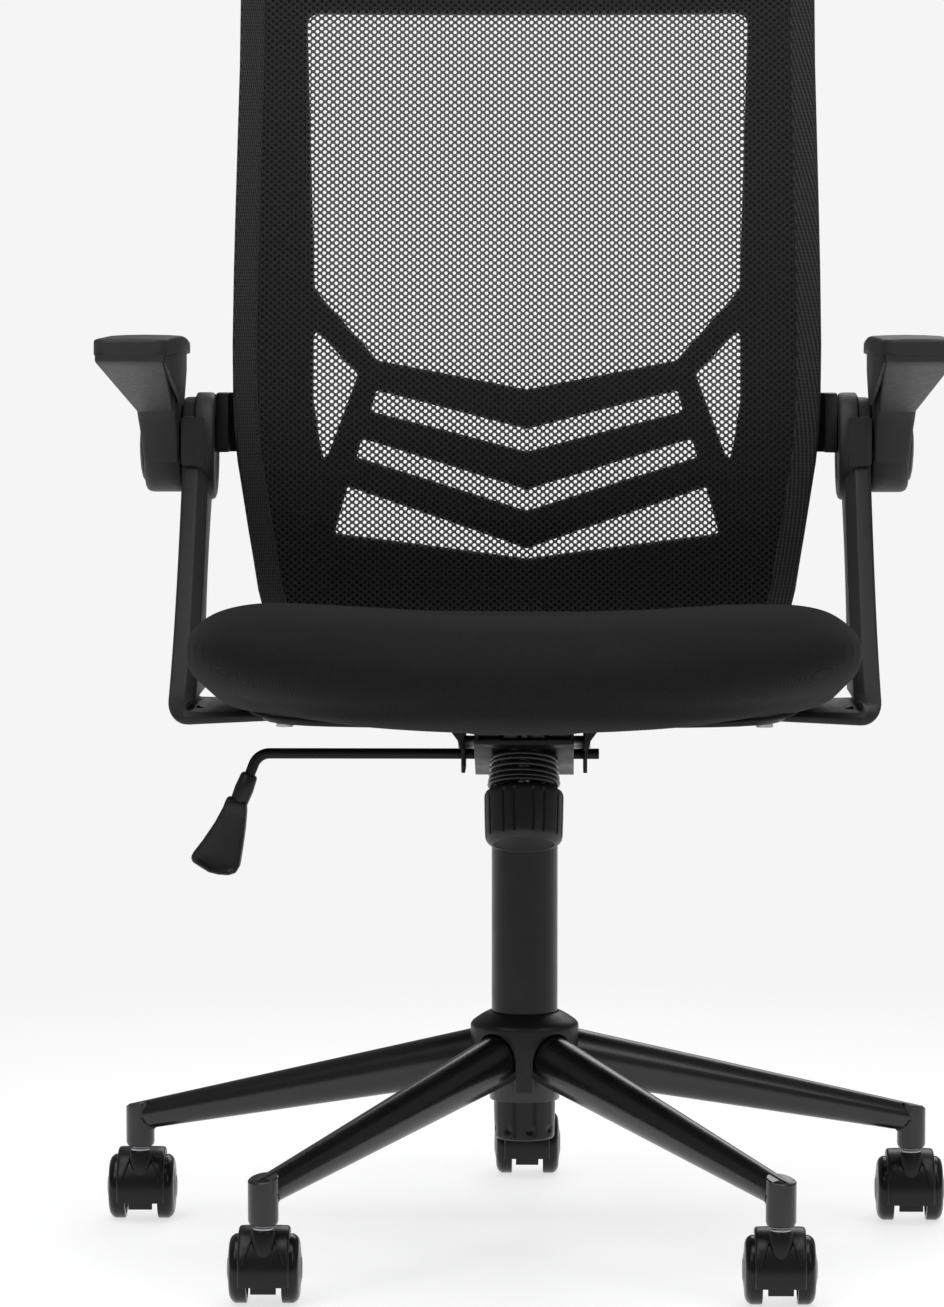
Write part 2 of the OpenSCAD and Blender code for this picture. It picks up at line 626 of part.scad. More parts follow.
// The see-through windows of the back frame as [x, z] outlines, right half and mirrored
function half_windows() = [
    [[168, 694], [133.3, 657], [160, 584.5], [168.5, 640]]];
function slot_window(top_x, top_z, low_x, low_z, mid_top, mid_low) = [[top_x, top_z], [low_x, low_z],
    [0, mid_low], [-low_x, low_z], [-top_x, top_z], [0, mid_top]];
function full_windows() = [
    [[174.7, 945], [167.5, 724], [117.8, 668], [0, 645], [-117.8, 668], [-167.5, 724], [-174.7, 945]],
    slot_window(119, 644.5, 123, 628, 613.8, 596),
    slot_window(130, 606.6, 134.6, 592, 565.7, 549),
    slot_window(141.4, 568.8, 151.7, 531.8, 519, 511)];

module back_frame() {
    color([0.05, 0.05, 0.05]) intersection() {
        back_shell(2, 2 + back_frame_t);
        difference() {
            front_prism(100, 320, back_loop(0));
            for (w = full_windows()) front_prism(90, 330, w);
            for (w = half_windows(), left = [false, true]) on_side(left) front_prism(90, 330, w);
            for (x = [-214, 214], z = [607, 633]) translate([x, 250, z]) rotate([90, 0, 0])
                cylinder(h = 100, r = 3.2);
        }
    }
}

module back_mesh() {
    color([0.1, 0.1, 0.1]) intersection() {
        back_shell(0, 1.8);
        front_prism(100, 320, back_loop(1));
    }
}

module back_brackets() {
    color([0.05, 0.05, 0.05]) for (left = [false, true]) on_side(left) difference() {
        union() {
            translate([0, 0, 597]) linear_extrude(46)
                polygon([[197, 195.5], [233, 184.5], [234, 171], [242.9, 166], [242.9, 204], [197, 206]]);
            x_rod(242, 251, [hub_y + 22, 620], 6);
        }
        for (z = [607, 633]) translate([214, 250, z]) rotate([90, 0, 0]) cylinder(h = 100, r = 3.2);
    }
}

module back_bolts() {
    color("silver") for (x = [-214, 214], z = [607, 633]) translate([x, 0, z]) rotate([90, 0, 0]) {
        translate([0, 0, -210]) cylinder(h = 4, r = 5.5);
        translate([0, 0, -208]) cylinder(h = 28, r = 3);
    }
}

// ---------------------------------------------------------------- assembly

base_hub_sleeve();
hub_cover();
for (i = [0 : caster_count - 1]) {
    base_arm(i);
    caster_housing(i);
    caster_stem_and_axle(i);
    caster_wheel(i, 1);
    caster_wheel(i, -1);
}
pressure_tube();
guide_bush();
thrust_bearing();
piston_rod();
gas_cylinder();
release_pin();
mechanism_channel();
mechanism_axles();
release_rocker();
tilt_lock_slider();
lift_lever_rod();
lift_lever_paddle();
tension_bolt();
tension_spring();
tension_knob();
seat_plate();
seat_pan();
seat_bolts();
seat_cushion();
arm_frame(true);  // arm_frame_left
arm_frame(false);  // arm_frame_right
arm_bolts();
arm_pivot_pins();
armrest_beam(true);  // armrest_beam_left
armrest_beam(false);  // armrest_beam_right
armrest_pad(true);  // armrest_pad_left
armrest_pad(false);  // armrest_pad_right
armrest_cap(true);  // armrest_cap_left
armrest_cap(false);  // armrest_cap_right
back_frame();
back_mesh();
back_brackets();
back_bolts();
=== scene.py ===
"""Swivel office chair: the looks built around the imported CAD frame. Lengths in mm unless named."""
from math import copysign, cos, exp, hypot, radians, sin, sqrt, tan, tau

import bmesh
import bpy
from mathutils import Matrix, Vector, noise
from mathutils.geometry import delaunay_2d_cdt


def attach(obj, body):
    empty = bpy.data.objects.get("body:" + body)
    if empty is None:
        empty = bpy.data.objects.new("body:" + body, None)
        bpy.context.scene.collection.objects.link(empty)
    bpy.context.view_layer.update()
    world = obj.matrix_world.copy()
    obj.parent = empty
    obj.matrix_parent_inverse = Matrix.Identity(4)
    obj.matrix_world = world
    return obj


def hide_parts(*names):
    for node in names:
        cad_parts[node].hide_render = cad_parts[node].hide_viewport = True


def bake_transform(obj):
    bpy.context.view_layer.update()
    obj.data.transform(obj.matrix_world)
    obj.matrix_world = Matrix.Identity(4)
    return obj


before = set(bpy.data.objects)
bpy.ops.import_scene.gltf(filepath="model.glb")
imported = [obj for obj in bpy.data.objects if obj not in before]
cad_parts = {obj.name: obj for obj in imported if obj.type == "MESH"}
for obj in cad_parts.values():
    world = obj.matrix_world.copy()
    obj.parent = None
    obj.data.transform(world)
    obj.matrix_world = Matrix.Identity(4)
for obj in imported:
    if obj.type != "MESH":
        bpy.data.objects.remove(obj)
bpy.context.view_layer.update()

MM = 0.001
BACKDROP = 0.914
FLOOR_GLOW = 0.68


# ---- stage

def add_object(name, data):
    obj = bpy.data.objects.new(name, data)
    bpy.context.collection.objects.link(obj)
    return obj


def build_camera():
    """A long lens at sitting height, turned a little to one side as in the photograph."""
    scene = bpy.context.scene
    scene.view_settings.view_transform = "Standard"
    cam = bpy.data.cameras.new("camera")
    cam.sensor_width = 36.0
    cam.lens = 154.9
    scene.camera = add_object("camera", cam)
    scene.camera.location = (0.030, -4.236, 0.7625)
    scene.camera.rotation_euler = (radians(90 - 4.20), 0, radians(0.9455))


def build_world():
    """Dim all-round light, behind which the camera sees a plain pale backdrop."""
    world = bpy.data.worlds.new("studio")
    bpy.context.scene.world = world
    world.use_nodes = True
    tree = world.node_tree
    back = tree.nodes["Background"]
    seen = tree.nodes.new("ShaderNodeBackground")
    for node, color, strength in ((back, (0.97, 0.985, 1.0, 1), 0.2), (seen, (1.0, 1.0, 1.0, 1), BACKDROP)):
        node.inputs["Color"].default_value = color
        node.inputs["Strength"].default_value = strength
    path = tree.nodes.new("ShaderNodeLightPath")
    both = tree.nodes.new("ShaderNodeMixShader")
    tree.links.new(path.outputs["Is Camera Ray"], both.inputs[0])
    tree.links.new(back.outputs["Background"], both.inputs[1])
    tree.links.new(seen.outputs["Background"], both.inputs[2])
    tree.links.new(both.outputs["Shader"], tree.nodes["World Output"].inputs["Surface"])


def build_light(name, place, target, size, watts):
    light = bpy.data.lights.new(name, "AREA")
    light.shape = "RECTANGLE"
    light.size, light.size_y = size
    light.energy = watts
    obj = add_object(name, light)
    obj.location = place
    aim = Vector(target) - Vector(place)
    obj.rotation_euler = aim.to_track_quat("-Z", "Y").to_euler()


def build_floor():
    floor = bpy.data.meshes.new("floor")
    floor.from_pydata([(-9, -6, 0), (9, -6, 0), (9, 12, 0), (-9, 12, 0)], [], [(0, 1, 2, 3)])
    obj = add_object("floor", floor)
    floor.materials.append(floor_material())


def build_stage():
    build_camera()
    build_world()
    build_light("key", (-1.7, -2.2, 2.9), (0, 0, 0.5), (1.5, 1.5), 22)
    build_light("fill", (2.3, -2.0, 2.4), (0, 0, 0.4), (1.3, 1.6), 14)
    build_light("top", (0, -0.3, 3.0), (0, 0, 0.4), (2.6, 2.2), 44)
    build_light("rim", (0.6, 2.6, 2.0), (0, 0, 0.6), (2.0, 1.4), 18)
    build_floor()


# ---- materials

class Shader:
    """A small wrapper for building one Principled material."""

    def __init__(self, name, color, roughness, metallic=0.0, **sockets):
        self.mat = bpy.data.materials.new(name)
        self.mat.use_nodes = True
        self.tree = self.mat.node_tree
        self.bsdf = self.tree.nodes["Principled BSDF"]
        self.color = color
        self.bsdf.inputs["Base Color"].default_value = (*color, 1)
        self.bsdf.inputs["Roughness"].default_value = roughness
        self.bsdf.inputs["Metallic"].default_value = metallic
        for key, value in sockets.items():
            self.bsdf.inputs[key.replace("_", " ")].default_value = value
        self.coord = self.node("ShaderNodeTexCoord").outputs["Object"]

    def node(self, kind, **settings):
        n = self.tree.nodes.new(kind)
        for key, value in settings.items():
            setattr(n, key, value)
        return n

    def link(self, out, into):
        self.tree.links.new(out, into)

    def axes(self):
        sep = self.node("ShaderNodeSeparateXYZ")
        self.link(self.coord, sep.inputs["Vector"])
        return (sep.outputs[k] for k in "XYZ")

    def mix_surface(self, share, other):
        """Replaces a share of the surface, a number or a socket, with another shader."""
        mix = self.node("ShaderNodeMixShader")
        if isinstance(share, float):
            mix.inputs[0].default_value = share
        else:
            self.link(share, mix.inputs[0])
        out = next(n for n in self.tree.nodes if n.type == "OUTPUT_MATERIAL")
        self.link(self.bsdf.outputs["BSDF"], mix.inputs[1])
        self.link(other, mix.inputs[2])
        self.link(mix.outputs["Shader"], out.inputs["Surface"])

    def noise(self, scale, detail=3.0, rough=0.55, stretch=None):
        n = self.node("ShaderNodeTexNoise")
        n.inputs["Scale"].default_value = scale
        n.inputs["Detail"].default_value = detail
        n.inputs["Roughness"].default_value = rough
        self.link(self.place(stretch), n.inputs["Vector"])
        return n.outputs["Fac"]

    def place(self, stretch):
        if stretch is None:
            return self.coord
        m = self.node("ShaderNodeMapping")
        m.inputs["Scale"].default_value = stretch
        self.link(self.coord, m.inputs["Vector"])
        return m.outputs["Vector"]

    def remap(self, value, low, high, from_low=0.0, from_high=1.0):
        r = self.node("ShaderNodeMapRange")
        for i, v in enumerate((from_low, from_high, low, high), 1):
            r.inputs[i].default_value = v
        self.link(value, r.inputs[0])
        return r.outputs[0]

    def math(self, op, a, b):
        m = self.node("ShaderNodeMath", operation=op)
        for i, v in enumerate((a, b)):
            if isinstance(v, (int, float)):
                m.inputs[i].default_value = v
            else:
                self.link(v, m.inputs[i])
        return m.outputs[0]

    def plus(self, a, b):
        return self.math("ADD", a, b)

    def times(self, a, b):
        return self.math("MULTIPLY", a, b)

    def sine(self, value, rate):
        return self.math("SINE", self.times(value, rate), 0)

    def rough(self, value, low, high, from_low=0.3, from_high=0.7):
        self.link(self.remap(value, low, high, from_low, from_high), self.bsdf.inputs["Roughness"])

    def shade(self, value, dark, light, from_low=0.3, from_high=0.7):
        """Colour from dark to light by a value."""
        mix = self.node("ShaderNodeMix", data_type="RGBA")
        mix.inputs["A"].default_value = (*dark, 1)
        mix.inputs["B"].default_value = (*light, 1)
        self.link(self.remap(value, 0, 1, from_low, from_high), mix.inputs["Factor"])
        self.link(mix.outputs["Result"], self.bsdf.inputs["Base Color"])

    def bump(self, value, depth_mm, strength=1.0):
        b = self.node("ShaderNodeBump")
        b.inputs["Strength"].default_value = strength
        b.inputs["Distance"].default_value = depth_mm * MM
        self.link(value, b.inputs["Height"])
        self.link(b.outputs["Normal"], self.bsdf.inputs["Normal"])


def tone(color, factor):
    return tuple(min(1.0, c * factor) for c in color)


def floor_material():
    """A lit sweep: it glows like the backdrop far out, and takes soft shadows round the chair."""
    s = Shader("studio_floor", (0.5, 0.5, 0.505), 0.6, Specular_IOR_Level=0.1)
    s.shade(s.noise(2.0), (0.49, 0.49, 0.495), (0.51, 0.51, 0.515))
    s.bsdf.inputs["Emission Color"].default_value = (1, 1, 1, 1)
    s.bsdf.inputs["Emission Strength"].default_value = FLOOR_GLOW
    x, y, _ = s.axes()
    r = s.math("SQRT", s.plus(s.times(x, x), s.times(y, y)), 0)
    far = s.remap(r, 0.0, 1.0, 0.55, 1.5)
    glow = s.node("ShaderNodeEmission")
    glow.inputs["Strength"].default_value = BACKDROP
    s.mix_surface(far, glow.outputs["Emission"])
    return s.mat


def painted(name, color, roughness, peel, coat=0.3, gloss=0.38):
    """Powder coat or paint: a fine orange peel, slight wear in the gloss and thin dust."""
    s = Shader(name, color, roughness, Coat_Weight=coat, Coat_Roughness=0.14, Specular_IOR_Level=gloss)
    fine = s.noise(peel, 2.0)
    s.shade(s.noise(18.0, 5.0), tone(color, 0.82), tone(color, 1.25))
    s.rough(s.noise(60.0, 5.0), roughness * 0.85, roughness * 1.2)
    s.bump(fine, 0.05)
    return s.mat


def moulded(name, color, roughness, grain=1400.0, depth=0.035):
    """Spark-textured moulded plastic: dense fine grain and a little unevenness of tone."""
    s = Shader(name, color, roughness, Specular_IOR_Level=0.3)
    cells = s.node("ShaderNodeTexVoronoi", feature="SMOOTH_F1")
    cells.inputs["Scale"].default_value = grain
    s.link(s.coord, cells.inputs["Vector"])
    mixed = s.plus(cells.outputs["Distance"], s.times(s.noise(grain * 0.6, 2.0), 0.7))
    s.shade(s.noise(9.0, 6.0, 0.6), tone(color, 0.86), tone(color, 1.2))
    s.rough(s.noise(220.0, 4.0), roughness * 0.9, roughness * 1.12)
    s.bump(mixed, depth)
    return s.mat


def metal(name, color, roughness, streak=(1, 1, 1)):
    s = Shader(name, color, roughness, metallic=1.0)
    s.shade(s.noise(40.0, 4.0), tone(color, 0.88), tone(color, 1.08))
    s.rough(s.noise(300.0, 3.0, stretch=streak), roughness * 0.75, roughness * 1.3)
    s.bump(s.noise(900.0, 2.0, stretch=streak), 0.02)
    return s.mat


def woven(name, color, pitch_mm, depth_mm):
    """Plain-woven upholstery cloth: warp and weft in object coordinates, with a flecked yarn."""
    s = Shader(name, color, 0.95, Sheen_Weight=0.05, Sheen_Roughness=0.5, Specular_IOR_Level=0.12)
    s.bsdf.inputs["Sheen Tint"].default_value = (0.6, 0.6, 0.62, 1)
    k = tau / (pitch_mm * MM)
    x, y, z = s.axes()
    wobble = s.times(s.math("SUBTRACT", s.noise(160.0, 2.0), 0.5), 0.0011)
    across = s.plus(x, wobble)
    # Along the cloth: depth where it lies flat, height where it hangs down the front
    along = s.plus(s.plus(y, z), wobble)
    u = s.sine(across, k)
    v = s.sine(along, k)
    weave = s.times(u, v)
    threads = s.plus(s.times(weave, 0.5), 0.5)
    fleck = s.noise(700.0, 3.0, 0.7)
    both = s.plus(s.times(threads, 0.55), s.times(fleck, 0.45))
    s.shade(both, tone(color, 0.55), tone(color, 1.75), 0.25, 0.75)
    s.bump(both, depth_mm)
    return s.mat


def yarn(name, color, glow):
    """Polyester net yarn: filaments along the thread, small changes of tone, and light through it."""
    s = Shader(name, color, 0.62, Sheen_Weight=0.06, Sheen_Roughness=0.4, Specular_IOR_Level=0.25)
    s.shade(s.noise(1500.0, 3.0, 0.7), tone(color, 0.7), tone(color, 1.35))
    s.rough(s.noise(500.0), 0.5, 0.75)
    s.bump(s.noise(2600.0, 2.0), 0.05)
    through = s.node("ShaderNodeBsdfTranslucent")
    through.inputs["Color"].default_value = (glow, glow, glow, 1)
    s.mix_surface(0.4, through.outputs["BSDF"])
    return s.mat


def ribbed_tape(name, color, pitch_mm):
    """Folded net with fine upright ribs and darker gaps between them."""
    s = Shader(name, color, 0.85, Sheen_Weight=0.05, Specular_IOR_Level=0.15)
    x, y, z = s.axes()
    k = tau / (pitch_mm * MM)
    wave = s.sine(s.plus(x, y), k)
    knots = s.sine(z, k * 0.8)
    ribs = s.plus(s.times(wave, 0.3), s.times(knots, 0.14))
    both = s.plus(s.plus(ribs, 0.28), s.times(s.noise(900.0, 3.0, 0.7), 0.45))
    s.shade(both, tone(color, 0.35), tone(color, 1.6), 0.2, 0.8)
    s.bump(both, 0.25)
    return s.mat


M = {}


def build_materials():
    M["steel_black"] = painted("black_powder_coat", (0.005, 0.005, 0.0052), 0.28, 1100.0, 0.35)
    M["tube_black"] = painted("column_powder_coat", (0.0042, 0.0042, 0.0041), 0.3, 1100.0, 0.12, 0.24)
    M["knob_plastic"] = moulded("knob_plastic", (0.017, 0.017, 0.0168), 0.42)
    M["steel_satin"] = painted("satin_black_paint", (0.0045, 0.0045, 0.0046), 0.4, 900.0, 0.02, 0.2)
    M["steel_zinc"] = metal("zinc_plate", (0.42, 0.42, 0.44), 0.36)
    M["steel_chrome"] = metal("polished_chrome", (0.74, 0.74, 0.76), 0.1)
    M["spring_black"] = painted("oiled_spring_steel", (0.005, 0.005, 0.005), 0.3, 1500.0, 0.15)
    M["plastic_black"] = moulded("black_plastic", (0.0095, 0.0095, 0.0097), 0.4)
    M["plastic_grey"] = moulded("grey_engineering_plastic", (0.05, 0.05, 0.052), 0.5)
    M["nylon_black"] = moulded("black_nylon", (0.006, 0.006, 0.0062), 0.32, 900.0, 0.02)
    M["wheel_black"] = moulded("caster_wheel_nylon", (0.005, 0.005, 0.0052), 0.24, 700.0, 0.012)
    M["arm_plastic"] = moulded("charcoal_arm_plastic", (0.022, 0.022, 0.0217), 0.5)
    M["pad_plastic"] = moulded("soft_touch_pad", (0.026, 0.026, 0.0256), 0.56, 1100.0, 0.045)
    M["back_plastic"] = moulded("back_frame_plastic", (0.004, 0.004, 0.0042), 0.55)
    M["seat_fabric"] = woven("seat_cloth", (0.0115, 0.0115, 0.0112), 1.25, 0.28)
    M["mesh_fabric"] = yarn("net_yarn", (0.034, 0.035, 0.034), 0.22)
    M["hem_tape"] = ribbed_tape("hem_tape", (0.03, 0.031, 0.03), 2.1)


# ---- mesh helpers

def new_piece(name, verts, faces):
    mesh = bpy.data.meshes.new(name)
    mesh.from_pydata([tuple(c * MM for c in v) for v in verts], [], faces)
    obj = add_object(name, mesh)
    tidy_mesh(mesh)
    return obj


def tidy_mesh(mesh, distance=2e-6):
    b = bmesh.new()
    b.from_mesh(mesh)
    bmesh.ops.remove_doubles(b, verts=b.verts, dist=distance)
    bmesh.ops.dissolve_degenerate(b, edges=b.edges, dist=1e-7)
    bmesh.ops.recalc_face_normals(b, faces=b.faces)
    b.to_mesh(mesh)
    b.free()


def smooth_by_angle(mesh, degrees=38):
    b = bmesh.new()
    b.from_mesh(mesh)
    limit = radians(degrees)
    for f in b.faces:
        f.smooth = True
    for e in b.edges:
        e.smooth = not (len(e.link_faces) == 2 and e.calc_face_angle(0) > limit)
    b.to_mesh(mesh)
    b.free()


def apply_modifiers(obj):
    dg = bpy.context.evaluated_depsgraph_get()
    done = bpy.data.meshes.new_from_object(obj.evaluated_get(dg))
    obj.modifiers.clear()
    obj.data = done


def bevel(obj, width, segments=3, degrees=32):
    m = obj.modifiers.new("bevel", "BEVEL")
    m.width = width * MM
    m.segments = segments
    m.limit_method = "ANGLE"
    m.angle_limit = radians(degrees)
    m.use_clamp_overlap = True
    return m


def finish_piece(obj, body, slot, replaces=(), width=0, segments=3, subdiv=0, degrees=38, material=None):
    """Rounds, smooths and paints a piece in its slot's material, ties it to its body and hides the CAD nodes
    it replaces.
    """
    if width:
        bevel(obj, width, segments)
    if subdiv:
        m = obj.modifiers.new("subdivision", "SUBSURF")
        m.levels = m.render_levels = subdiv
    if obj.modifiers:
        apply_modifiers(obj)
    smooth_by_angle(obj.data, degrees)
    obj.data.materials.clear()
    obj.data.materials.append(M[material or slot])
    if body:
        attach(obj, body)
    if replaces:
        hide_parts(*replaces)
    return obj


def build_piece(name, mesh, *place, **finish):
    return finish_piece(new_piece(name, *mesh), *place, **finish)


def loft(rings, closed=True, caps=True):
    """A skin through rings of points, each as long as the next."""
    n = len(rings[0])
    verts = [tuple(p) for ring in rings for p in ring]
    faces = []
    for i in range(len(rings) - 1):
        for k in range(n if closed else n - 1):
            a, b = i * n + k, i * n + (k + 1) % n
            faces.append((a, b, b + n, a + n))
    if caps:
        faces.append(tuple(range(n - 1, -1, -1)))
        faces.append(tuple(range(len(verts) - n, len(verts))))
    return verts, faces


def lathe(profile, steps=96, closed=True, radius=None):
    """Turns a profile of (r, z) points about Z; radius(angle, r, z) may shape it."""
    rings = []
    for i in range(steps):
        a = tau * i / steps
        shaped = [(radius(a, r, z) if radius else r, z) for r, z in profile]
        rings.append([(r * cos(a), r * sin(a), z) for r, z in shaped])
    n = len(profile)
    verts = [p for ring in rings for p in ring]
    faces = []
    for i in range(steps):
        j = (i + 1) % steps
        for k in range(n if closed else n - 1):
            m = (k + 1) % n
            faces.append((i * n + k, j * n + k, j * n + m, i * n + m))
    return verts, faces


def fillet(points, radii, steps=5):
    """A closed outline with its corners rounded; radii is one number or a list."""
    out = []
    n = len(points)
    for i, p in enumerate(points):
        r = radii[i] if isinstance(radii, (list, tuple)) else radii
        p = Vector(p)
        a, b = Vector(points[i - 1]) - p, Vector(points[(i + 1) % n]) - p
        if r <= 0 or a.length < 1e-6 or b.length < 1e-6:
            out.append(p)
            continue
        half = a.angle(b) / 2
        cut = min(r / max(tan(half), 1e-3), a.length * 0.49, b.length * 0.49)
        start, end = p + a.normalized() * cut, p + b.normalized() * cut
        for k in range(steps + 1):
            t = k / steps
            out.append(start * (1 - t) ** 2 + p * 2 * t * (1 - t) + end * t * t)
    return out


def prism(outline, low, high, axis="y"):
    """A prism of a flat outline: axis y takes (x, z) points, axis x takes (y, z), axis z (x, y)."""
    place = {"y": lambda p, h: (p[0], h, p[1]), "x": lambda p, h: (h, p[0], p[1]),
             "z": lambda p, h: (p[0], p[1], h)}[axis]
    return loft([[place(p, low) for p in outline], [place(p, high) for p in outline]])


def moved(part, matrix):
    verts, faces = part
    return [tuple(matrix @ Vector(v)) for v in verts], faces


def mirror_x(part):
    verts, faces = part
    return [(-x, y, z) for x, y, z in verts], faces


def join_parts(*parts):
    verts, faces = [], []
    for v, f in parts:
        k = len(verts)
        verts += v
        faces += [tuple(i + k for i in face) for face in f]
    return verts, faces


def sweep(path, section, side):
    """Sweeps (a, b) section points along a path; side is constant across the path's plane."""
    rings = []
    for i, p in enumerate(path):
        t = (Vector(path[min(i + 1, len(path) - 1)]) - Vector(path[max(i - 1, 0)])).normalized()
        s = Vector(side).normalized()
        up = s.cross(t).normalized()
        sec = section(i) if callable(section) else section
        rings.append([Vector(p) + s * a + up * b for a, b in sec])
    return loft(rings)


def oval(hw, hh, n=40):
    return [(hw * cos(tau * k / n), hh * sin(tau * k / n)) for k in range(n)]


def circle(r, n=16):
    return oval(r, r, n)


def bezier(p, t):
    s = 1 - t
    return p[0] * s ** 3 + p[1] * 3 * t * s * s + p[2] * 3 * t * t * s + p[3] * t ** 3


def lerp(a, b, t):
    return a + (b - a) * t


def smoothstep(t):
    t = max(0.0, min(1.0, t))
    return t * t * (3 - 2 * t)


def table(rows, x):
    """Piecewise linear look-up in rows of (x, value)."""
    if x <= rows[0][0]:
        return rows[0][1]
    for (x0, v0), (x1, v1) in zip(rows, rows[1:]):
        if x <= x1:
            return lerp(v0, v1, (x - x0) / (x1 - x0))
    return rows[-1][1]


# ---- base and casters

STEM_R = 315.0
ARM_ANGLES = [90 + 72 * i for i in range(5)]
ARM_START, ARM_ROOT, ARM_END, ARM_TIP = 27.0, 40, 304, 20.5
CREST_SLOPE = 0.2556
STEM_SOCKET_R = 11.0


def arm_section(u):
    """Centre height, half height and half width of an arm at distance u from the lift's axis."""
    s = (u - ARM_ROOT) / (ARM_END - ARM_ROOT)
    return 144.5 - 58.5 * s, 20.7 - 9.2 * s, 16.5 - 6.3 * s


def build_base_arm(i):
    rings = []
    us = [ARM_START + (ARM_END - ARM_START) * k / 24 for k in range(25)]
    us += [ARM_END + ARM_TIP * k / 8 for k in range(1, 9)]
    for u in us:
        zc, hh, hw = arm_section(u)
        top = zc + hh
        if u > ARM_END:
            f = sqrt(max(0.0, 1 - ((u - ARM_END) / (ARM_TIP + 0.1)) ** 2))
            hw *= 0.12 + 0.88 * f
            hh *= 0.55 + 0.45 * f
            zc = top - hh
        rings.append([(u, y, zc + z) for y, z in oval(hw, hh, 48)])
    tube = loft(rings)
    crest = 165.2 - CREST_SLOPE * (STEM_R - ARM_ROOT)
    prof = [(0, 60.6), (5.7, 60.6), (5.7, 60.0), (8.6, 60.0), (10.2, 61.0)]
    prof += [(STEM_SOCKET_R, 63.4), (STEM_SOCKET_R, 96)]
    sv, sf = lathe(prof + [(10.2, 97), (0, 97)], 64, closed=False)
    verts = []
    for x, y, z in sv:
        if z > 90:
            z = crest - 0.9 - CREST_SLOPE * x - (0.7 if hypot(x, y) > 10.6 else 0)
        verts.append((x + STEM_R, y, z))
    # The weld bead where the oval tube meets the socket
    bead = []
    for k in range(61):
        y = -9.9 + 19.8 * k / 60
        u = STEM_R - sqrt(STEM_SOCKET_R ** 2 - y * y)
        zc, hh, hw = arm_section(u)
        drop = hh * sqrt(max(0.0, 1 - (y / hw) ** 2))
        bead.append(Vector((u - 0.2, y, zc - drop + 0.2)))
    weld = sweep(bead, lambda k: circle(1.15 + 0.22 * sin(k * 1.9), 10), (1, 0, 0.2))
    turn = Matrix.Rotation(radians(ARM_ANGLES[i]), 4, "Z")
    arm = moved(join_parts(tube, (verts, sf), weld), turn)
    build_piece(f"base_arm_{i + 1}_tube", arm, "base", "steel_black", (f"base_arm_{i + 1}",))


def build_hub():
    prof = [(26.9, 122.0), (38.0, 122.0), (39.2, 123.0), (40.4, 150), (41.0, 168.4), (40.7, 170.6),
            (39.4, 172.4), (37.0, 174.2), (33.5, 176.6), (30.0, 178.6), (27.6, 179.8), (26.2, 179.9),
            (25.5, 179.0), (25.5, 168.6), (26.9, 168.6)]
    cover = new_piece("hub_dome", *lathe(prof, 160))
    for a in ARM_ANGLES:
        rings = []
        for u in [8 + 60 * k / 10 for k in range(11)]:
            zc, hh, hw = arm_section(u)
            ring = [((hw + 1.4) * cos(tau * k / 64), zc + (hh + 1.4) * sin(tau * k / 64))
                    for k in range(33)]
            ring += [(-(hw + 1.4), 100), (hw + 1.4, 100)]
            rings.append([(u, y, z) for y, z in ring])
        cutter = new_piece("cutter", *moved(loft(rings), Matrix.Rotation(radians(a), 4, "Z")))
        m = cover.modifiers.new("arch", "BOOLEAN")
        m.object = cutter
        m.solver = "EXACT"
        apply_modifiers(cover)
        bpy.data.objects.remove(cutter)
    tidy_mesh(cover.data, 2e-5)
    finish_piece(cover, "base", "plastic_black", ("hub_cover",), width=0.7, segments=2, degrees=30)


TUBE_R = 25.0


def build_tube():
    """The lift's pressure tube: tapered, crimped foot with a rounded lower edge."""
    foot = [86 + 0.8 * k for k in range(14)] + [100, 110, 125, 140, 160]
    prof = [(20.4, 83.0), (21.6, 83.3), (22.4, 84.2), (22.7, 85.5)]
    prof += [(22.62 + (z - 83) * 0.0261, z) for z in foot]
    prof += [(TUBE_R, z) for z in [174, 290.0] + [294 + 0.8 * k for k in range(13)] + [351.2]]
    prof += [(24.6, 352.0), (23.5, 352.0), (23.5, 176), (21.2, 100), (21.0, 90.5)]
    prof += [(5.6, 90.5), (5.6, 86.2), (20.4, 86.2)]

    def crimped(a, r, z):
        if r < 22.0 or z > 100:
            if z > 280 and r > 24.4:
                hole = hypot((a - radians(-49)) * TUBE_R, z - 299)
                return r - 1.0 * exp(-(hole / 1.5) ** 4)
            return r
        spot = abs(((a / tau * 8 + 0.25) % 1) - 0.5) * tau / 8 * r
        return r - 1.5 * exp(-((z - 91) / 2.2) ** 2 - (spot / 2.6) ** 2)

    build_piece("pressure_tube_body", lathe(prof, 200, radius=crimped),
                "base", "steel_black", ("pressure_tube",), degrees=50, material="tube_black")


def wheel_mesh():
    """One caster wheel about the X axis, its outer face towards +X, centred on the axle."""
    prof = [(3.06, 12.6), (7.4, 12.6), (8, 13.2), (8, 15.6), (20.6, 15.6), (21, 13.2), (21.6, 12.6),
            (24.0, 12.6), (24.7, 12.9), (25, 13.6), (25, 16.2), (24.82, 16.45), (25, 16.7), (25, 20.2),
            (24.9, 20.9), (24.5, 21.6)]
    prof += [(17 + 7.4 * cos(t), 20.9 + 4.7 * sin(t)) for t in
             [radians(d) for d in (18, 30, 42, 54, 66, 78, 90)]]
    prof += [(15.2, 25.65), (14.8, 25.45), (14.4, 25.72), (11, 26.2), (9.2, 26.5), (8.7, 26.3),
             (8.3, 26.6), (7.2, 26.95), (4, 27.0), (0, 27.0), (0, 23.0), (3.06, 23.0)]
    v, f = lathe(prof, 88)
    return [(z, x, y) for x, y, z in v], f


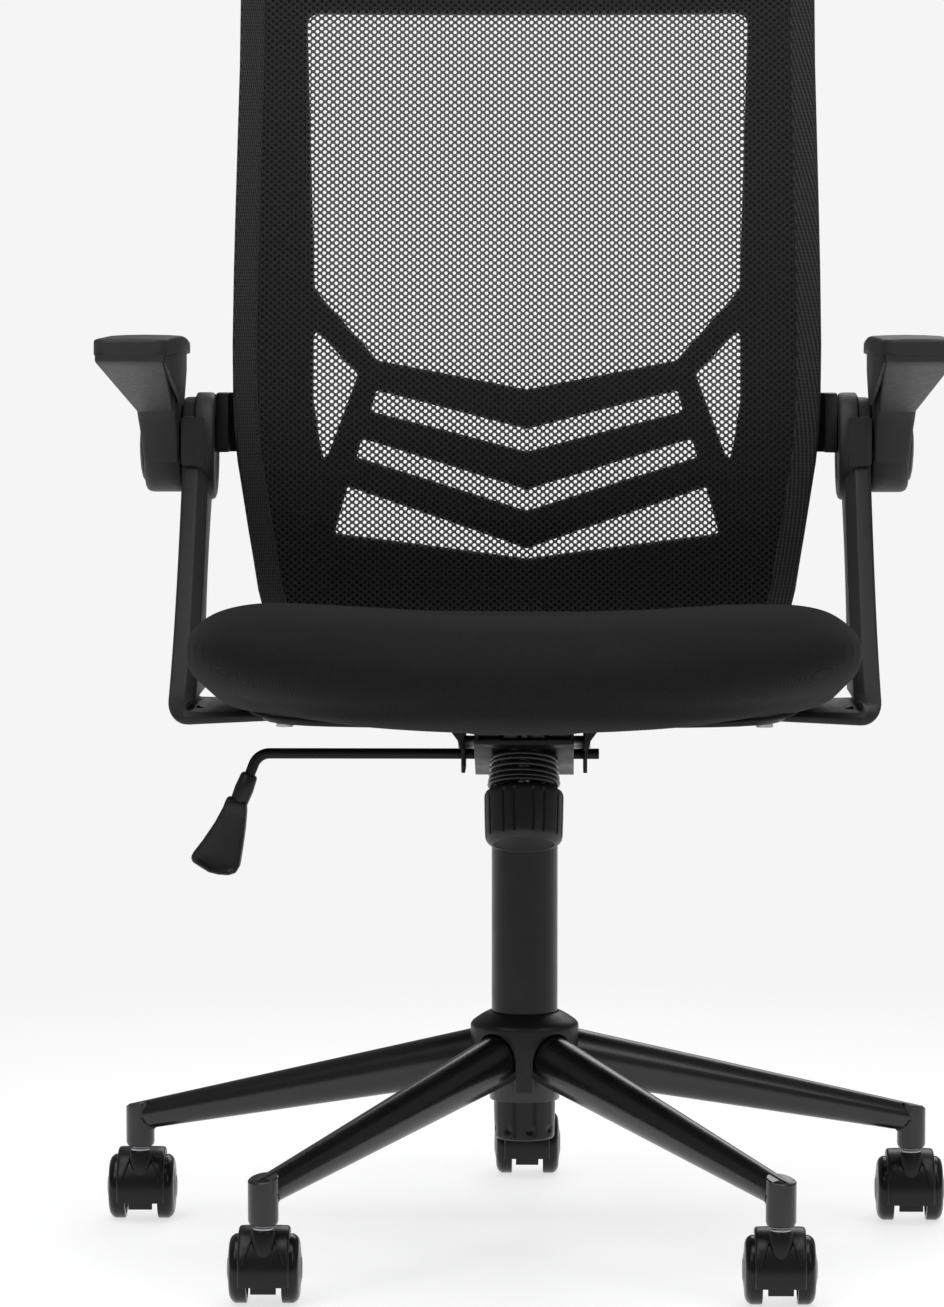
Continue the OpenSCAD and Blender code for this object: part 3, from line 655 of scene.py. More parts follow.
def hood_mesh():
    """A caster's hood, web and stem boss, with the stem on Z and the axle at y = 20, z = 25."""
    half = [(18.4, 27.4), (18.4, 29.0), (18.0, 30.0), (17.2, 30.6)]
    half += [(x, lerp(31.2, 30.8, (x / 17.0) ** 2.4)) for x in (16.4, 12, 8, 4)]
    outer = [(-x, r) for x, r in half] + [(0, 31.2)] + half[::-1]
    inner = [(17.8, 26.5), (14, 26.3), (0, 26.3), (-14, 26.3), (-17.8, 26.5)]
    rings = []
    for k in range(41):
        a = radians(-17.5 + (119.5 + 17.5) * k / 40)
        rings.append([(x, 20 - r * cos(a), 25 + r * sin(a)) for x, r in outer + inner])
    shell = loft(rings)
    body = [(0.0, 16.2), (28, 16.2), (31, 25), (33.5, 50), (20, 51.5), (2, 45), (-6.5, 30), (-6.8, 17)]
    web = prism(fillet(body, 3.0, 4), -11.4, 11.4, "x")
    nub = prism(fillet([(-8.2, 10.6), (-4.6, 10.6), (-3.0, 20), (-8.6, 20)], 1.2, 3), -9.2, 9.2, "x")
    boss = lathe([(0, 31), (8.6, 31), (8.6, 55.6), (8.2, 56.3), (5.52, 56.3), (5.52, 40), (0, 40)], 48,
                 closed=False)
    # Two ribs that run from the boss to the hood's front corners
    ribs = []
    for sign in (-1, 1):
        path = [Vector((sign * (5.5 + 9.5 * t), 20 - 31.6 * cos(radians(66 - 52 * t)),
                        25 + 31.6 * sin(radians(66 - 52 * t)))) for t in
                [j / 10 for j in range(11)]]
        ribs.append(sweep(path, oval(0.9, 0.7, 10), (1, 0, 0)))
    return join_parts(shell, web, nub, boss, *ribs)


def build_casters():
    wv, wf = wheel_mesh()
    hv, hf = hood_mesh()
    for i in range(5):
        a = radians(ARM_ANGLES[i])
        at = Vector((STEM_R * cos(a), STEM_R * sin(a), 0))
        axle = at + Vector((0, 20, 25))
        for side, sign in (("left", 1), ("right", -1)):
            verts = [(sign * x + axle.x, y + axle.y, z + axle.z) for x, y, z in wv]
            obj = new_piece(f"caster_{i + 1}_{side}_wheel", verts, wf)
            finish_piece(obj, f"wheel_{i + 1}_{side}", "wheel_black", (f"caster_{i + 1}_wheel_{side}",),
                         degrees=28)
        obj = new_piece(f"caster_{i + 1}_hood", [tuple(Vector(v) + at) for v in hv], hf)
        finish_piece(obj, f"caster_{i + 1}", "nylon_black", (f"caster_{i + 1}_housing",), width=0.5,
                     segments=2)


# ---- tilt mechanism

KNOB_TILT = radians(-20)
KNOB_FRAME = Matrix.Translation((0, -70, 381)) @ Matrix.Rotation(KNOB_TILT, 4, "X")


def build_knob():
    top, low = -27.0, -69.0
    prof = [(0, top - 0.2), (10, top), (23.5, top), (25.8, top - 0.5), (28.4, top - 2.4), (29.3, top - 4.2),
            (29.5, top - 6.5), (29.45, top - 8), (29.2, -50), (28.8, low + 7.5), (28.7, low + 6),
            (28.3, low + 4.2), (27.2, low + 2.4), (25.4, low + 0.8), (24.2, low + 0.2), (22.8, low + 0.1),
            (22.2, low + 0.7), (21.4, low + 0.8), (12, low + 0.6), (0, low + 0.5)]

    def grooved(a, r, z):
        if r < 26.5:
            return r
        group = (a / tau * 8) % 1
        depth = 0.0
        for centre in (0.5 - 0.19, 0.5 + 0.19):
            d = (group - centre) * tau / 8 * 29.5
            depth += 1.5 * exp(-(d / 0.85) ** 4)
        ends = smoothstep((z - (low + 4)) / 3) * smoothstep((top - 4 - z) / 3)
        return r - depth * ends

    knob = lathe(prof, 360, closed=False, radius=grooved)
    build_piece("ribbed_knob", moved(knob, KNOB_FRAME),
                "knob", "plastic_black", ("tension_knob",), degrees=45, material="knob_plastic")


def build_spring():
    """The coil spring, coiled in the knob's frame with its foot on the knob."""
    turns, per, wire = 5.9, 48, 1.85
    n = int(turns * per)
    rings = []
    for i in range(n + 1):
        t = i / n
        a = tau * turns * t
        r = 23.0 + 2.6 * t
        ease = t - 0.045 * sin(tau * t)
        z = -2.3 - (27 - 4.8) * ease
        c = Vector((r * cos(a), r * sin(a), z))
        out = Vector((cos(a), sin(a), 0))
        rings.append([c + out * u + Vector((0, 0, w)) for u, w in circle(wire, 12)])
    spring = build_piece("coil_spring", moved(loft(rings), KNOB_FRAME),
                         None, "spring_black", ("tension_spring",), degrees=60)
    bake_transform(spring)


LEVER_Y, LEVER_Z = -28.0, 378.0
LEVER_X, LEVER_Q = -191.5, 13.0
LEVER_BEND = radians(68.6)


def build_lever():
    path = [Vector((x, LEVER_Y, LEVER_Z)) for x in (56, 0, -100)]
    for k in range(15):
        a = LEVER_BEND * k / 14
        path.append(Vector((LEVER_X - LEVER_Q * sin(a), LEVER_Y, LEVER_Z - LEVER_Q * (1 - cos(a)))))
    end = path[-1]
    along = Vector((-cos(LEVER_BEND), 0, -sin(LEVER_BEND)))
    for d in (15, 40):
        path.append(end + along * d)
    build_piece("lever_bar", sweep(path, circle(4.0, 24), (0, 1, 0)),
                "lever", "steel_satin", ("lift_lever_rod",), width=0.6)

    # The paddle: a socket that widens to a dished grip with a raised rim
    left = [(-223.5, 346.0), (-226.5, 338), (-233, 326), (-242.5, 312), (-249.5, 303), (-251.0, 299.5)]
    right = [(-208.8, 342.8), (-208.6, 334), (-209.6, 322), (-211.5, 308), (-213.2, 297.5), (-214.0, 293.0)]
    foot = [(-249.5, 296.0), (-237.5, 288.4), (-230.0, 286.6), (-222.5, 286.2), (-217.0, 288.0)]
    outline = fillet(left + foot + right[::-1], 4.0, 3)
    cx = sum(p.x for p in outline) / len(outline)
    cz = 303.0

    dish = ((0.05, -4.6), (0.45, -4.8), (0.70, -5.2), (0.78, -5.7), (0.83, -6.6), (0.90, -7.0),
            (0.96, -6.6), (1.0, -4.6), (1.0, 0), (1.0, 4.0), (0.96, 6.2), (0.9, 7.0), (0.5, 7.2),
            (0.05, 7.2))
    rings = []
    for scale, y in dish:
        scaled = [Vector((p.x - cx, p.y - cz)) * scale for p in outline]
        rings.append([(cx + q.x, LEVER_Y + y, cz + q.y) for q in scaled])
    paddle = loft(rings)
    top = end + along * 8
    socket = sweep([top + along * d for d in (0, 1.5, 12, 26, 38)],
                   lambda k: oval((5.4, 6.6, 7.0, 6.4, 3.0)[k], (5.4, 6.4, 7.2, 6.6, 3.6)[k], 28), (0, 1, 0))
    build_piece("lever_paddle", join_parts(paddle, socket),
                "lever", "plastic_black", ("lift_lever_paddle",), degrees=42)


# ---- arms

HUB_Y, HUB_Z = 170.0, 602.0
PAD_SEAT_Z = 679
HUB_FRAME = Matrix(((0, 0, 1, 0), (1, 0, 0, HUB_Y), (0, 1, 0, HUB_Z), (0, 0, 0, 1)))
UPRIGHT_FRONT = [Vector((-60, 402)), Vector((10, 440)), Vector((70, 500)), Vector((133, 590))]
UPRIGHT_REAR = [Vector((90, 402)), Vector((95, 470)), Vector((130, 520)), Vector((204, 576))]


def edge_y(curve, z):
    """Where a side curve of (y, z) control points passes the height z."""
    low, high = 0.0, 1.0
    for _ in range(30):
        mid = (low + high) / 2
        if bezier(curve, mid).y < z:
            low = mid
        else:
            high = mid
    return bezier(curve, low).x


def arm_frame_mesh():
    rings = []

    def ring(px, pz, nx, nz, t, y0, y1, shrink=0.0):
        c = min(8.0, t * 0.42)
        y0, y1, t = y0 + shrink, y1 - shrink, t - shrink
        sec = fillet([(0, shrink), (0, t - c), (c * 1.15, t), (y1 - y0, t), (y1 - y0, shrink)],
                     [3.2, 2.0, 2.4, 2.8, 3.0], 4)
        rings.append([(px + nx * d, y0 + a, pz + nz * d) for a, d in sec])

    for x, shrink in ((152, 1.6), (152.6, 0.7), (154, 0), (160, 0), (170, 0), (180, 0), (200, 0),
                      (225, 0), (240, 0), (250.5, 0)):
        z = lerp(405.5, 402, (x - 152) / 99.5)
        front = table([(152, -30), (160, -40), (180, -48), (251.5, -60)], x)
        rear = table([(152, 52), (160, 62), (180, 70), (251.5, 90)], x)
        ring(x, z, 0, 1, 411.5 - z, front, rear, shrink)
    for k in range(1, 10):
        a = radians(-90 + 10 * k)
        z = 418 + 16 * sin(a)
        ring(251.5 + 16 * cos(a), z, -cos(a), -sin(a), lerp(9.5, 20, k / 9),
             edge_y(UPRIGHT_FRONT, z), edge_y(UPRIGHT_REAR, z))
    for k in range(1, 31):
        z = lerp(418, 600, k / 30)
        front = edge_y(UPRIGHT_FRONT, z) if z < 590 else 133 + (z - 590) * 0.35
        ring(267.5, z, -1, 0, 20, front, edge_y(UPRIGHT_REAR, z) if z < 576 else 203.5)
    body = loft(rings)
    hub = lathe([(0, 243.9), (27, 243.9), (28.5, 243.0), (38.5, 243.0), (40.6, 243.8), (41.8, 245.4),
                 (42, 247.5), (42, 256.3), (41.5, 257.5), (40.2, 258.2), (38.8, 258.7), (38.4, 259.8),
                 (38.3, 265.0), (37.6, 267.0), (36.2, 267.8), (13, 267.8), (12, 267.1), (0, 267.1)],
                96, closed=False)
    knuckle = prism(fillet([(250, 588), (268, 588), (268, 626), (250, 626)], 3.0, 4), 128.2, 142)
    rib = prism(fillet([(232, 404), (247, 404), (247, 414), (240, 411.4), (232, 411.4)], 1.0, 2), -20, 55)
    return join_parts(body, moved(hub, HUB_FRAME), knuckle, rib)


def smooth_rows(rows, steps):
    """Rows of numbers with Catmull-Rom curves between them."""
    out = []
    for k in range(len(rows) - 1):
        near_rows = (rows[max(k - 1, 0)], rows[k], rows[k + 1], rows[min(k + 2, len(rows) - 1)])
        for j in range(steps):
            t = j / steps
            out.append([0.5 * (2 * q + (r - p) * t + (2 * p - 5 * q + 4 * r - u) * t * t
                               + (3 * q - p - 3 * r + u) * t ** 3) for p, q, r, u in zip(*near_rows)])
    return out + [list(rows[-1])]


def armrest_plate():
    """The slanted plate under the pad, from its rounded tip to the neck."""
    tip = [(-98.2, 675.6, 266.2, 315.2), (-97.4, 673.8, 265.4, 316.0), (-95.4, 672.6, 265.4, 316.0)]
    slant = [(y, 650.8 - 0.2275 * y, 268.2 + 0.03 * y, 307.2 - 0.0925 * y) for y in range(-80, 81, 40)]
    root = [(85.5, 631.4, 271.0, 299.3), (87.0, 632.4, 271.8, 298.7)]
    rings = []
    for y, low, x0, x1 in tip + slant + root:
        sec = fillet([(x0, low), (x1, low), (x1, PAD_SEAT_Z), (x0, PAD_SEAT_Z)], [1.4, 1.4, 1, 1], 3)
        rings.append([(p.x, y, p.y) for p in sec])
    return loft(rings)


def armrest_neck():
    """The beam that bends down from the plate into the hub."""
    # Its stations: front y and z, rear y and z, inner and outer x
    rows = [(60, 668, 74, 680, 272.5, 303.0), (72, 658, 92, 680, 271.5, 303.0),
            (84, 649, 112, 680, 270.6, 302.6), (96, 641, 132, 679, 270.0, 302.0),
            (107, 632.5, 156, 678, 269.8, 301.4), (116.5, 623.5, 177, 674.5, 269.8, 300.8),
            (123.6, 614, 190, 664, 269.8, 299.8), (129.6, 603.4, 200.5, 645, 269.8, 298.8),
            (134.6, 592.5, 205.6, 624, 269.8, 297.9), (141, 584.5, 204.5, 606, 269.9, 297.4),
            (152, 580, 197, 590, 269.9, 297.2)]
    rings = []
    for fy, fz, ry, rz, x0, x1 in smooth_rows(rows, 3):
        low, high = Vector((0, fy, fz)), Vector((0, ry, rz))
        span = (high - low).length
        up = (high - low) / max(span, 1e-6)
        sec = fillet([(x0, 0), (x1, 0), (x1, span), (x0, span)], [2.4, 4.0, 3.0, 2.4], 4)
        rings.append([(p.x, (low + up * p.y).y, (low + up * p.y).z) for p in sec])
    return loft(rings)


def armrest_mesh():
    """The moving armrest under its pad: plate, neck and hub, with an inner wall and its ribs."""
    hub = lathe([(0, 269.4), (30, 269.4), (31, 269.0), (33.6, 269.0), (35.3, 269.6), (36, 271.0),
                 (36, 291.5), (35.6, 294.2), (34.2, 296.6), (31.8, 297.8), (29.2, 298.0), (28.2, 297.6),
                 (27.9, 296.4), (0, 296.4)], 96, closed=False)
    side = [(-90, PAD_SEAT_Z), (-90, 672.4), (-40, 663.5), (60, 644.5), (112, 635.5), (126, 641),
            (150, 662), (150, PAD_SEAT_Z)]
    wall = prism(fillet(side, [1, 2, 3, 3, 5, 4, 4, 1], 4), 264.8, 267.6, "x")
    ribs = []
    for y in (-66, -36, -6, 24, 54):
        z = table([(-92, 672.5), (-40, 664), (60, 646)], y)
        ribs.append(prism([(y, z + 1.5), (y + 2.0, z + 1.5), (y + 12, PAD_SEAT_Z), (y + 10, PAD_SEAT_Z)],
                          267, 281, "x"))
    shelf = prism(fillet([(266.8, 678.6), (281, 678.6), (281, 676.2), (266.8, 676.2)], 0.6, 2), -90, 112)
    return join_parts(armrest_plate(), armrest_neck(), moved(hub, HUB_FRAME), wall, shelf, *ribs)


def pad_mesh():
    x0, x1, front, rear = 263.2, 317.8, -98.6, 185.0
    mid, half = (x0 + x1) / 2, (x1 - x0) / 2
    stations = [0, 0.25, 0.9, 1.9, 3.2, 5, 7.5, 10, 13, 20, 40, 70, 110, 150, 185, 215, 240, 255, 263]
    length = rear - front
    stations += [length - d for d in (16, 12, 8.5, 5.5, 3.2, 1.6, 0.5, 0)]
    rings = []
    for d in stations:
        y = front + d
        a, b = min(d, 12.0), min(length - d, 17.0)
        w = half - 12 + sqrt(max(144 - (12 - a) ** 2, 0.3))
        w = min(w, half - 17 + sqrt(max(289 - (17 - b) ** 2, 0.3)))
        top = table([(-100, 690.6), (-60, 691), (60, 691), (100, 690.3), (130, 688.8), (160, 685.8),
                     (176, 683.2), (190, 680.8)], y)
        low = table([(-100, 677.8), (120, 677.8), (150, 676.2), (175, 673.8), (190, 672.4)], y)
        e0, e1 = min(d, 3.6), min(length - d, 4.2)
        fall = 3.6 - sqrt(max(12.96 - (3.6 - e0) ** 2, 0))
        fall += 4.2 - sqrt(max(17.64 - (4.2 - e1) ** 2, 0))
        top -= fall
        low += 0.45 * fall
        crown = 0.9 * (w / half) ** 2
        line = [(-w, low), (w, low), (w, top - crown), (0.55 * w, top - 0.3 * crown), (0, top),
                (-0.55 * w, top - 0.3 * crown), (-w, top - crown)]
        sec = fillet(line, [1.2, 1.2, 2.8, 6, 6, 6, 2.8], 5)
        rings.append([(mid + p.x, y, p.y) for p in sec])
    return loft(rings)


def build_arms():
    for side in ("left", "right"):
        def placed(part):
            return part if side == "left" else mirror_x(part)
        build_piece(f"arm_support_{side}", placed(arm_frame_mesh()),
                    "seat", "arm_plastic", (f"arm_frame_{side}",), degrees=32)
        body = f"armrest_{side}"
        build_piece(f"armrest_{side}_body", placed(armrest_mesh()),
                    body, "arm_plastic", (f"armrest_beam_{side}",), degrees=34)
        build_piece(f"armrest_{side}_top", placed(pad_mesh()),
                    body, "pad_plastic", (f"armrest_pad_{side}",), subdiv=1, degrees=60)
        cap = lathe([(0, 296.6), (27.0, 296.6), (27.0, 298.4), (26.6, 299.3), (25.2, 300.2), (20, 301.5),
                     (11, 302.4), (0, 302.6)], 72, closed=False)
        build_piece(f"armrest_{side}_hub_cover", placed(moved(cap, HUB_FRAME)),
                    body, "plastic_black", (f"armrest_cap_{side}",), degrees=50)


# ---- seat cushion

SEAT_LAYERS = [(0, 58), (2.2, 46), (5.5, 35), (10, 24), (16, 14), (23, 7), (30, 2.5), (37, 0.4), (44, 0),
               (51, 1.2), (58, 5), (64, 11), (69, 19), (73, 30), (75.6, 44), (77, 62), (77.6, 85),
               (77.8, 112), (77.8, 140)]
SEAT_SLACK = 0.5
SEAT_BOTTOM_Z = 416.3


def seat_ring(inset, n=120):
    pts = []
    for i in range(n):
        a = tau * i / n
        c, s = cos(a), sin(a)
        y = -30 + copysign(abs(s) ** 0.42, s) * (225 - inset)
        w = (245 - inset) * (1 - 0.07 * s if s > 0 else 1 + 0.038 * smoothstep((-15 - y) / 60))
        pts.append((copysign(abs(c) ** 0.42, c) * w, y))
    return pts


def seat_height(x, y, h):
    """The cover's height at a layer h: raised sides, a fall to the rear and a lifted front underside."""
    up = smoothstep((h - 34) / 40)
    saddle = 7.0 * smoothstep((abs(x) - 40) / 175) - 3.0 * exp(-(x / 120) ** 2)
    back_drop = -15.0 * smoothstep((y + 165) / 330)
    fall = -8.0 * smoothstep((-165 - y) / 90) ** 2
    front = smoothstep((-120 - y) / 90) * (1 - up)
    nose = front * (7.0 * smoothstep((abs(x) - 95) / 120) - 12.0 * exp(-(x / 150) ** 2))
    if h < 1:
        nose *= 0.5
    return SEAT_BOTTOM_Z + h - 7.5 * up + up * (saddle + back_drop + fall) + nose


def crease_cloth(mesh):
    """Shallow wrinkles in the sewn cover, none near the glued underside."""
    for v in mesh.vertices:
        p = v.co / MM
        ease = smoothstep((p.z - 420) / 20)
        crease = noise.noise(Vector((p.x / 70, p.y / 70, p.z / 26))) * 0.7
        crease += noise.noise(Vector((p.x / 26, p.y / 40, p.z / 14))) * 0.22
        v.co += Vector((p.x / 245, (p.y + 30) / 225, 0.6)).normalized() * crease * ease * MM


def build_cushion():
    rings = []
    for h, inset in SEAT_LAYERS:
        outline = seat_ring(inset + (SEAT_SLACK if h > 3 else 0))
        rings.append([(x, y, seat_height(x, y, h)) for x, y in outline])
    obj = new_piece("seat_pad", *loft(rings))
    inflate(obj, 6.0, 5.0)
    m = obj.modifiers.new("smooth", "CORRECTIVE_SMOOTH")
    m.iterations = 4
    m.use_only_smooth = True
    apply_modifiers(obj)
    crease_cloth(obj.data)
    finish_piece(obj, "seat", "seat_fabric", ("seat_cushion",), subdiv=1, degrees=80)


def build_edging():
    """A sewn cord round the cushion's underside."""
    points = 200
    bottom = [(x, y, 415.9 + 2.6 * ((abs(x) / 200) ** 4)) for x, y in seat_ring(50, points)]
    cord = []
    for i, p in enumerate(bottom):
        q = Vector(bottom[(i + 1) % points]) - Vector(bottom[i - 1])
        out = Vector((q.y, -q.x, 0)).normalized()
        cord.append([Vector(p) + out * u + Vector((0, 0, w)) for u, w in circle(1.5, 10)])
    build_piece("seat_underside_edging", loft(cord + [cord[0]], caps=False),
                "seat", "seat_fabric", (), degrees=80)


def inflate(obj, voxel, cap):
    """Lets pressure fill the cloth cover for twenty frames, with its glued underside held."""
    remesh = obj.modifiers.new("remesh", "REMESH")
    remesh.mode = "VOXEL"
    remesh.voxel_size = voxel * MM
    apply_modifiers(obj)
    before = [v.co.copy() for v in obj.data.vertices]
    held = obj.vertex_groups.new(name="held")
    held.add([v.index for v in obj.data.vertices if v.co.z < 420.5 * MM], 1.0, "REPLACE")
    cloth = obj.modifiers.new("cloth", "CLOTH")
    c = cloth.settings
    c.quality = 5
    c.mass = 0.3
    c.tension_stiffness = c.compression_stiffness = 25
    c.shear_stiffness = 10
    c.bending_stiffness = 1.5
    c.use_pressure = True
    c.uniform_pressure_force = 4.0
    c.vertex_group_mass = "held"
    c.effector_weights.gravity = 0.0
    cloth.collision_settings.use_collision = False
    cloth.point_cache.frame_start = 1
    cloth.point_cache.frame_end = 20
    for n in range(1, 21):
        bpy.context.scene.frame_set(n)
    apply_modifiers(obj)
    bpy.context.scene.frame_set(1)
    obj.vertex_groups.clear()
    for v, old in zip(obj.data.vertices, before):
        step = v.co - old
        if step.length > cap * MM:
            v.co = old + step.normalized() * cap * MM


# ---- back

BACK_PROFILE = [(420, 226), (440, 221), (470, 216), (500, 212), (540, 208), (580, 206), (620, 207),
                (660, 211), (710, 218), (760, 227), (820, 239), (880, 251), (940, 264), (1060, 290)]
BACK_SIDES = [(446, 199), (470, 206.5), (488, 210.7), (512, 214.2), (535, 217.8), (559, 221.3), (575, 223.7),
              (590, 226), (615, 228.4), (640, 229.4), (680, 230), (740, 229.4), (800, 228.3), (900, 226.2)]


# The axis of the back's curve lies this far in front of the lift's axis
BACK_CENTRE = 494


def back_y(x, z, d):
    """The back's surface: curved across its width with a radius of 700, d behind its front."""
    p = table(BACK_PROFILE, z)
    soft = (table(BACK_PROFILE, z - 22) + table(BACK_PROFILE, z + 22)) / 2
    r = BACK_CENTRE + p * 0.5 + soft * 0.5 + d
    return -BACK_CENTRE + sqrt(r * r - x * x)


def on_back(p, d):
    """A flat point (x, z) placed on the back, d behind its front."""
    return p.x, back_y(p.x, p.y, d), p.y


def resample(loop, spacing):
    """Points along a closed outline at about the spacing, keeping its own corners."""
    out = []
    n = len(loop)
    for i in range(n):
        a, b = Vector(loop[i]), Vector(loop[(i + 1) % n])
        k = max(1, int((b - a).length / spacing + 0.5))
        out += [a.lerp(b, j / k) for j in range(k)]
    return [p for i, p in enumerate(out) if (p - out[i - 1]).length > 0.05]


def loop_normals(loop):
    """Unit normals that point to the left of the direction of travel."""
    out = []
    n = len(loop)
    for i in range(n):
        a = (loop[i] - loop[i - 1]).normalized()
        b = (loop[(i + 1) % n] - loop[i]).normalized()
        t = (a + b).normalized()
        out.append(Vector((-t.y, t.x)) / max(0.5, (a.dot(b) * 0.5 + 0.5) ** 0.5))
    return out


def signed_area(loop):
    return sum(a.x * b.y - b.x * a.y for a, b in zip(loop, loop[1:] + loop[:1])) / 2


def back_outline():
    """Counter-clockwise seen from the front, with x to the right and z up."""
    right = [Vector((w, z)) for z, w in BACK_SIDES]
    corner = [Vector((181 + 45 * cos(radians(a)), 960 + 45 * sin(radians(a))))
              for a in range(0, 91, 6)]
    right = fillet([(0, 446)] + [tuple(p) for p in right], [0, 22] + [0] * 13, 8)[1:] + corner
    left = [Vector((-p.x, p.y)) for p in reversed(right)]
    return resample(right + left, 5.0)


def window_outlines():
    """The large window, its two side windows and the three chevron slots, clockwise."""
    def slot(a, b, c, d, mid_top, mid_low):
        return [(-a, b), (0, mid_top), (a, b), (c, d), (0, mid_low), (-c, d)]
    main = [(-174.7, 941.5), (174.7, 941.5), (167.5, 724), (117.8, 668), (0, 645), (-117.8, 668),
            (-167.5, 724)]
    side = [(168, 694), (133.3, 657), (160, 584.5), (168.5, 640)]
    slots = (slot(119, 644.5, 123, 628, 613.8, 596), slot(130, 606.6, 134.6, 592, 565.7, 549),
             slot(141.4, 568.8, 151.7, 531.8, 519, 511))
    shapes = [(main, [9, 9, 12, 8, 3, 8, 12]), (side, [4, 4, 4, 30]),
              ([(-x, z) for x, z in side], [4, 4, 4, 30])]
    shapes += [(points, [2.5, 2, 2.5, 3, 3, 3]) for points in slots]
    out = []
    for points, radii in shapes:
        loop = resample(fillet(points, radii, 5), 5.0)
        out.append(loop if signed_area(loop) < 0 else loop[::-1])
    return out


def inside(p, loop):
    hit = False
    for a, b in zip(loop, loop[1:] + loop[:1]):
        if (a.y > p.y) != (b.y > p.y) and p.x < (b.x - a.x) * (p.y - a.y) / (b.y - a.y) + a.x:
            hit = not hit
    return hit


def near(p, points, d):
    return any(abs(q.x - p.x) < d and abs(q.y - p.y) < d for q in points)


def build_back_frame():
    loops = [back_outline()] + window_outlines()
    normals = [loop_normals(loop) for loop in loops]

    def shifted(amount):
        return [[p + n * amount for p, n in zip(loop, nor)] for loop, nor in zip(loops, normals)]
    inset = shifted(1.3)
    points, edges = [], []
    for loop in inset:
        k, n = len(points), len(loop)
        points += loop
        edges += [(k + i, k + (i + 1) % n) for i in range(n)]
    rim = list(points)
    for i in range(-19, 20):
        for j in range(48):
            p = Vector((i * 12.0, 450 + j * 12.0))
            if inside(p, inset[0]) and not near(p, rim, 4.0) and not any(inside(p, w) for w in inset[1:]):
                points.append(p)
    flat = delaunay_2d_cdt(points, edges, [], 0, 1e-4)
    pts, tris = flat[0], flat[2]
    keep = []
    for t in tris:
        c = sum((pts[i] for i in t), Vector((0, 0))) / len(t)
        if inside(c, inset[0]) and not any(inside(c, w) for w in inset[1:]):
            keep.append(tuple(t))
    n = len(pts)
    verts = [on_back(p, d) for d in (2.0, 12.0) for p in pts]
    faces = keep + [tuple(i + n for i in reversed(t)) for t in keep]
    steps = [(1.3, 2.0), (0.42, 2.36), (0.0, 3.3), (0.0, 10.7), (0.42, 11.64), (1.3, 12.0)]
    for loop, nor in zip(loops, normals):
        m, k = len(loop), len(verts)
        for offset, d in steps:
            for p, q in zip(loop, nor):
                verts.append(on_back(p + q * offset, d))
        for r in range(len(steps) - 1):
            for i in range(m):
                j = (i + 1) % m
                faces.append((k + r * m + i, k + r * m + j, k + (r + 1) * m + j, k + (r + 1) * m + i))
    obj = new_piece("back_frame_moulding", verts, faces)
    finish_piece(obj, "seat", "back_plastic", ("back_frame",), degrees=50)
    return obj, loops[0], normals[0]


def build_net(edge):
    """One sheet of knitted net with six-sided holes in staggered rows, cut off at the edge."""
    verts, faces, index = [], [], {}

    def corner(x, z, d):
        key = (round(x * 50), round(z * 50))
        if key not in index:
            index[key] = len(verts)
            verts.append((x, back_y(x, z, d), z))
        return index[key]
    pitch_x, pitch_z, hole = 6.4, 5.3, 1.5
    rows, half_columns, lowest = 218, 37, 440
    cell = [(2.7, 0), (0.5, 2.65), (-0.5, 2.65), (-2.7, 0), (-0.5, -2.65), (0.5, -2.65)]
    for row in range(rows):
        z = lowest + row * pitch_z / 2
        for col in range(-half_columns, half_columns + 1):
            x = (col + 0.5 * (row % 2)) * pitch_x
            if not inside(Vector((x, z)), edge):
                continue
            outer = [corner(x + u, z + w, 0.25) for u, w in cell]
            inner = []
            for k in range(6):
                a = radians(60 * k)
                u, w = x + hole * cos(a), z + hole * sin(a)
                inner.append(len(verts))
                verts.append((u, back_y(u, w, 0.95), w))
            for k in range(6):
                m = (k + 1) % 6
                faces.append((outer[k], outer[m], inner[m], inner[k]))
    net = new_piece("back_net", verts, faces)
    return finish_piece(net, "seat", "mesh_fabric", ("back_mesh",), degrees=180)


def build_hem(outline, normals):
    """The folded border, from the front's edge round the frame to its back."""
    wrap = [(18.6, 0.15), (18.2, -0.35), (16.4, -0.5), (9, -0.55), (3, -0.5), (1.0, -0.2), (-0.3, 1.1),
            (-0.8, 3.3), (-0.8, 10.6), (-0.3, 12.4), (0.8, 13.2), (4, 13.4), (13, 13.4), (15.2, 13.1),
            (15.8, 12.2)]
    rings = [[on_back(p + n * off, d) for off, d in wrap] for p, n in zip(outline, normals)]
    return build_piece("back_net_hem", loft(rings + [rings[0]], closed=False, caps=False),
                       "seat", "mesh_fabric", (), degrees=70, material="hem_tape")


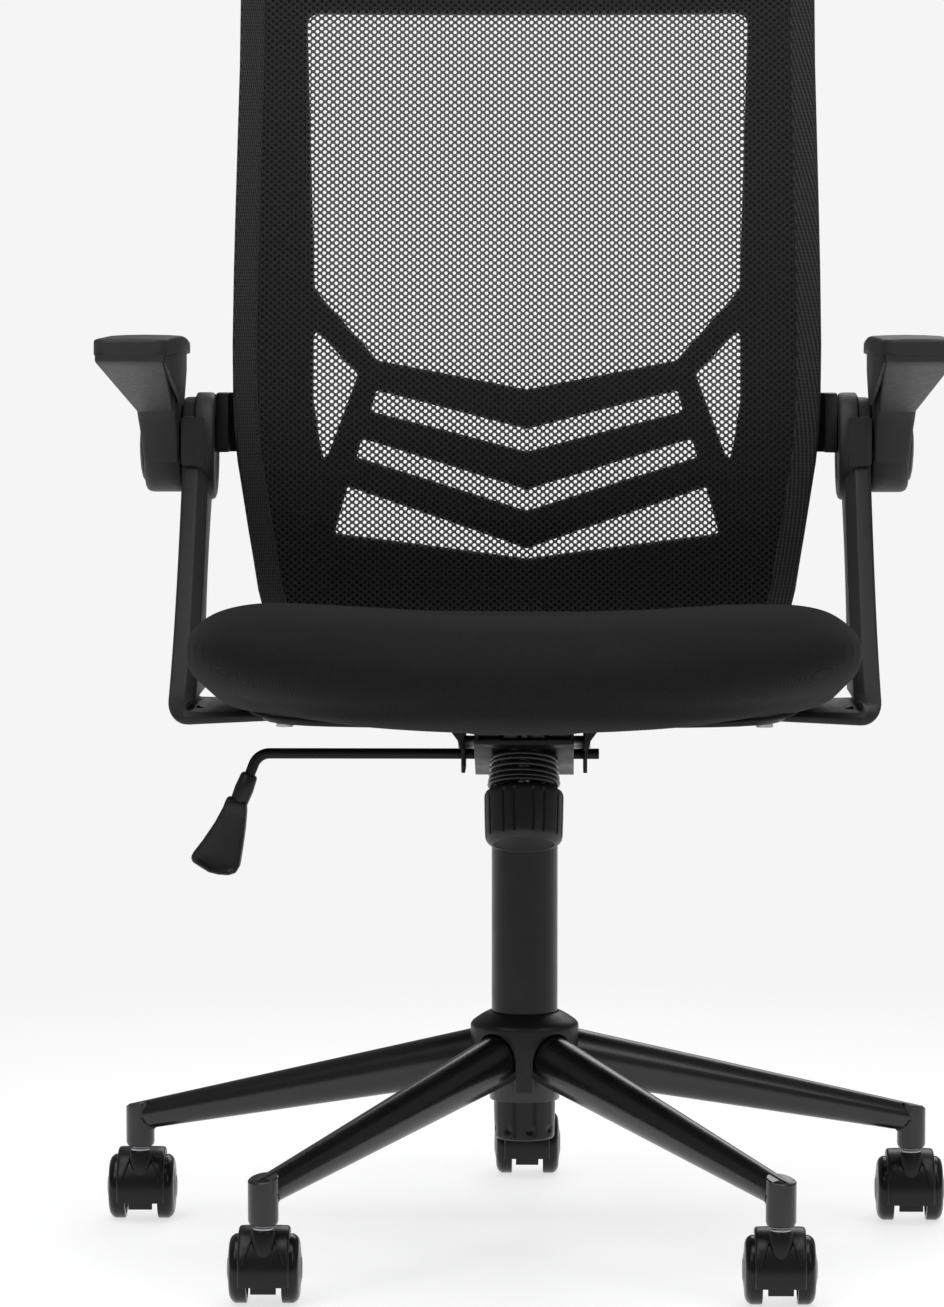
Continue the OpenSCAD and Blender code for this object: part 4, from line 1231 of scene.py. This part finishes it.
def build_stitching(outline, normals):
    line = resample([p + n * 16.6 for p, n in zip(outline, normals)], 3.9)
    parts = []
    for i, p in enumerate(line):
        t = (line[(i + 1) % len(line)] - line[i - 1]).normalized()
        side = Vector((-t.y, t.x))
        rings = []
        for along, r in ((-1.35, 0.08), (-1.1, 0.3), (0, 0.42), (1.1, 0.3), (1.35, 0.08)):
            c = p + t * along
            deep = -0.62 + 0.22 * (along / 1.35) ** 2
            ring = []
            for u, w in circle(r, 6):
                q = c + side * u
                ring.append((q.x, back_y(q.x, q.y, deep) + w, q.y))
            rings.append(ring)
        parts.append(loft(rings))
    return build_piece("back_net_stitching", join_parts(*parts),
                       "seat", "mesh_fabric", (), degrees=80)


def build_back():
    frame_obj, outline, normals = build_back_frame()
    net = build_net([p + n * 3.0 for p, n in zip(outline, normals)])
    hem = build_hem(outline, normals)
    stitches = build_stitching(outline, normals)


# ---- CAD parts that stay

def dress(node, material, width=0.6, segments=2, degrees=30):
    """Gives a CAD node rounded edges and its material."""
    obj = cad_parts[node]
    weld = obj.modifiers.new("weld", "WELD")
    weld.merge_threshold = 1e-5
    if width:
        m = bevel(obj, width, segments, degrees)
        m.harden_normals = True
    for f in obj.data.polygons:
        f.use_smooth = True
    obj.data.materials.clear()
    obj.data.materials.append(M[material])


CAD_FINISH = {
    "steel_black": {"base_hub_sleeve": 0.5},
    "steel_satin": {"mechanism_channel": 0.9, "seat_plate": 0.7},
    "steel_chrome": {"piston_rod": 0.3, "gas_cylinder": 0.4},
    "steel_zinc": {"thrust_bearing": 0.3, "release_pin": 0.4, "mechanism_axles": 0.5, "release_rocker": 0.3,
                   "tension_bolt": 0.4, "seat_bolts": 0.6, "arm_bolts": 0.6, "arm_pivot_pins": 0.5,
                   "back_bolts": 0.5},
    "plastic_grey": {"guide_bush": 0.4, "tilt_lock_slider": 0.6},
    "plastic_black": {"seat_pan": 0.8},
    "back_plastic": {"back_brackets": 1.2}}


def dress_cad():
    for material, nodes in CAD_FINISH.items():
        for node, width in nodes.items():
            dress(node, material, width)
    for i in range(1, 6):
        dress(f"caster_{i}_stem_and_axle", "steel_zinc", 0.4)


build_materials()
build_stage()
dress_cad()
for arm in range(5):
    build_base_arm(arm)
build_hub()
build_tube()
build_casters()
build_knob()
build_spring()
build_lever()
build_arms()
build_cushion()
build_edging()
build_back()
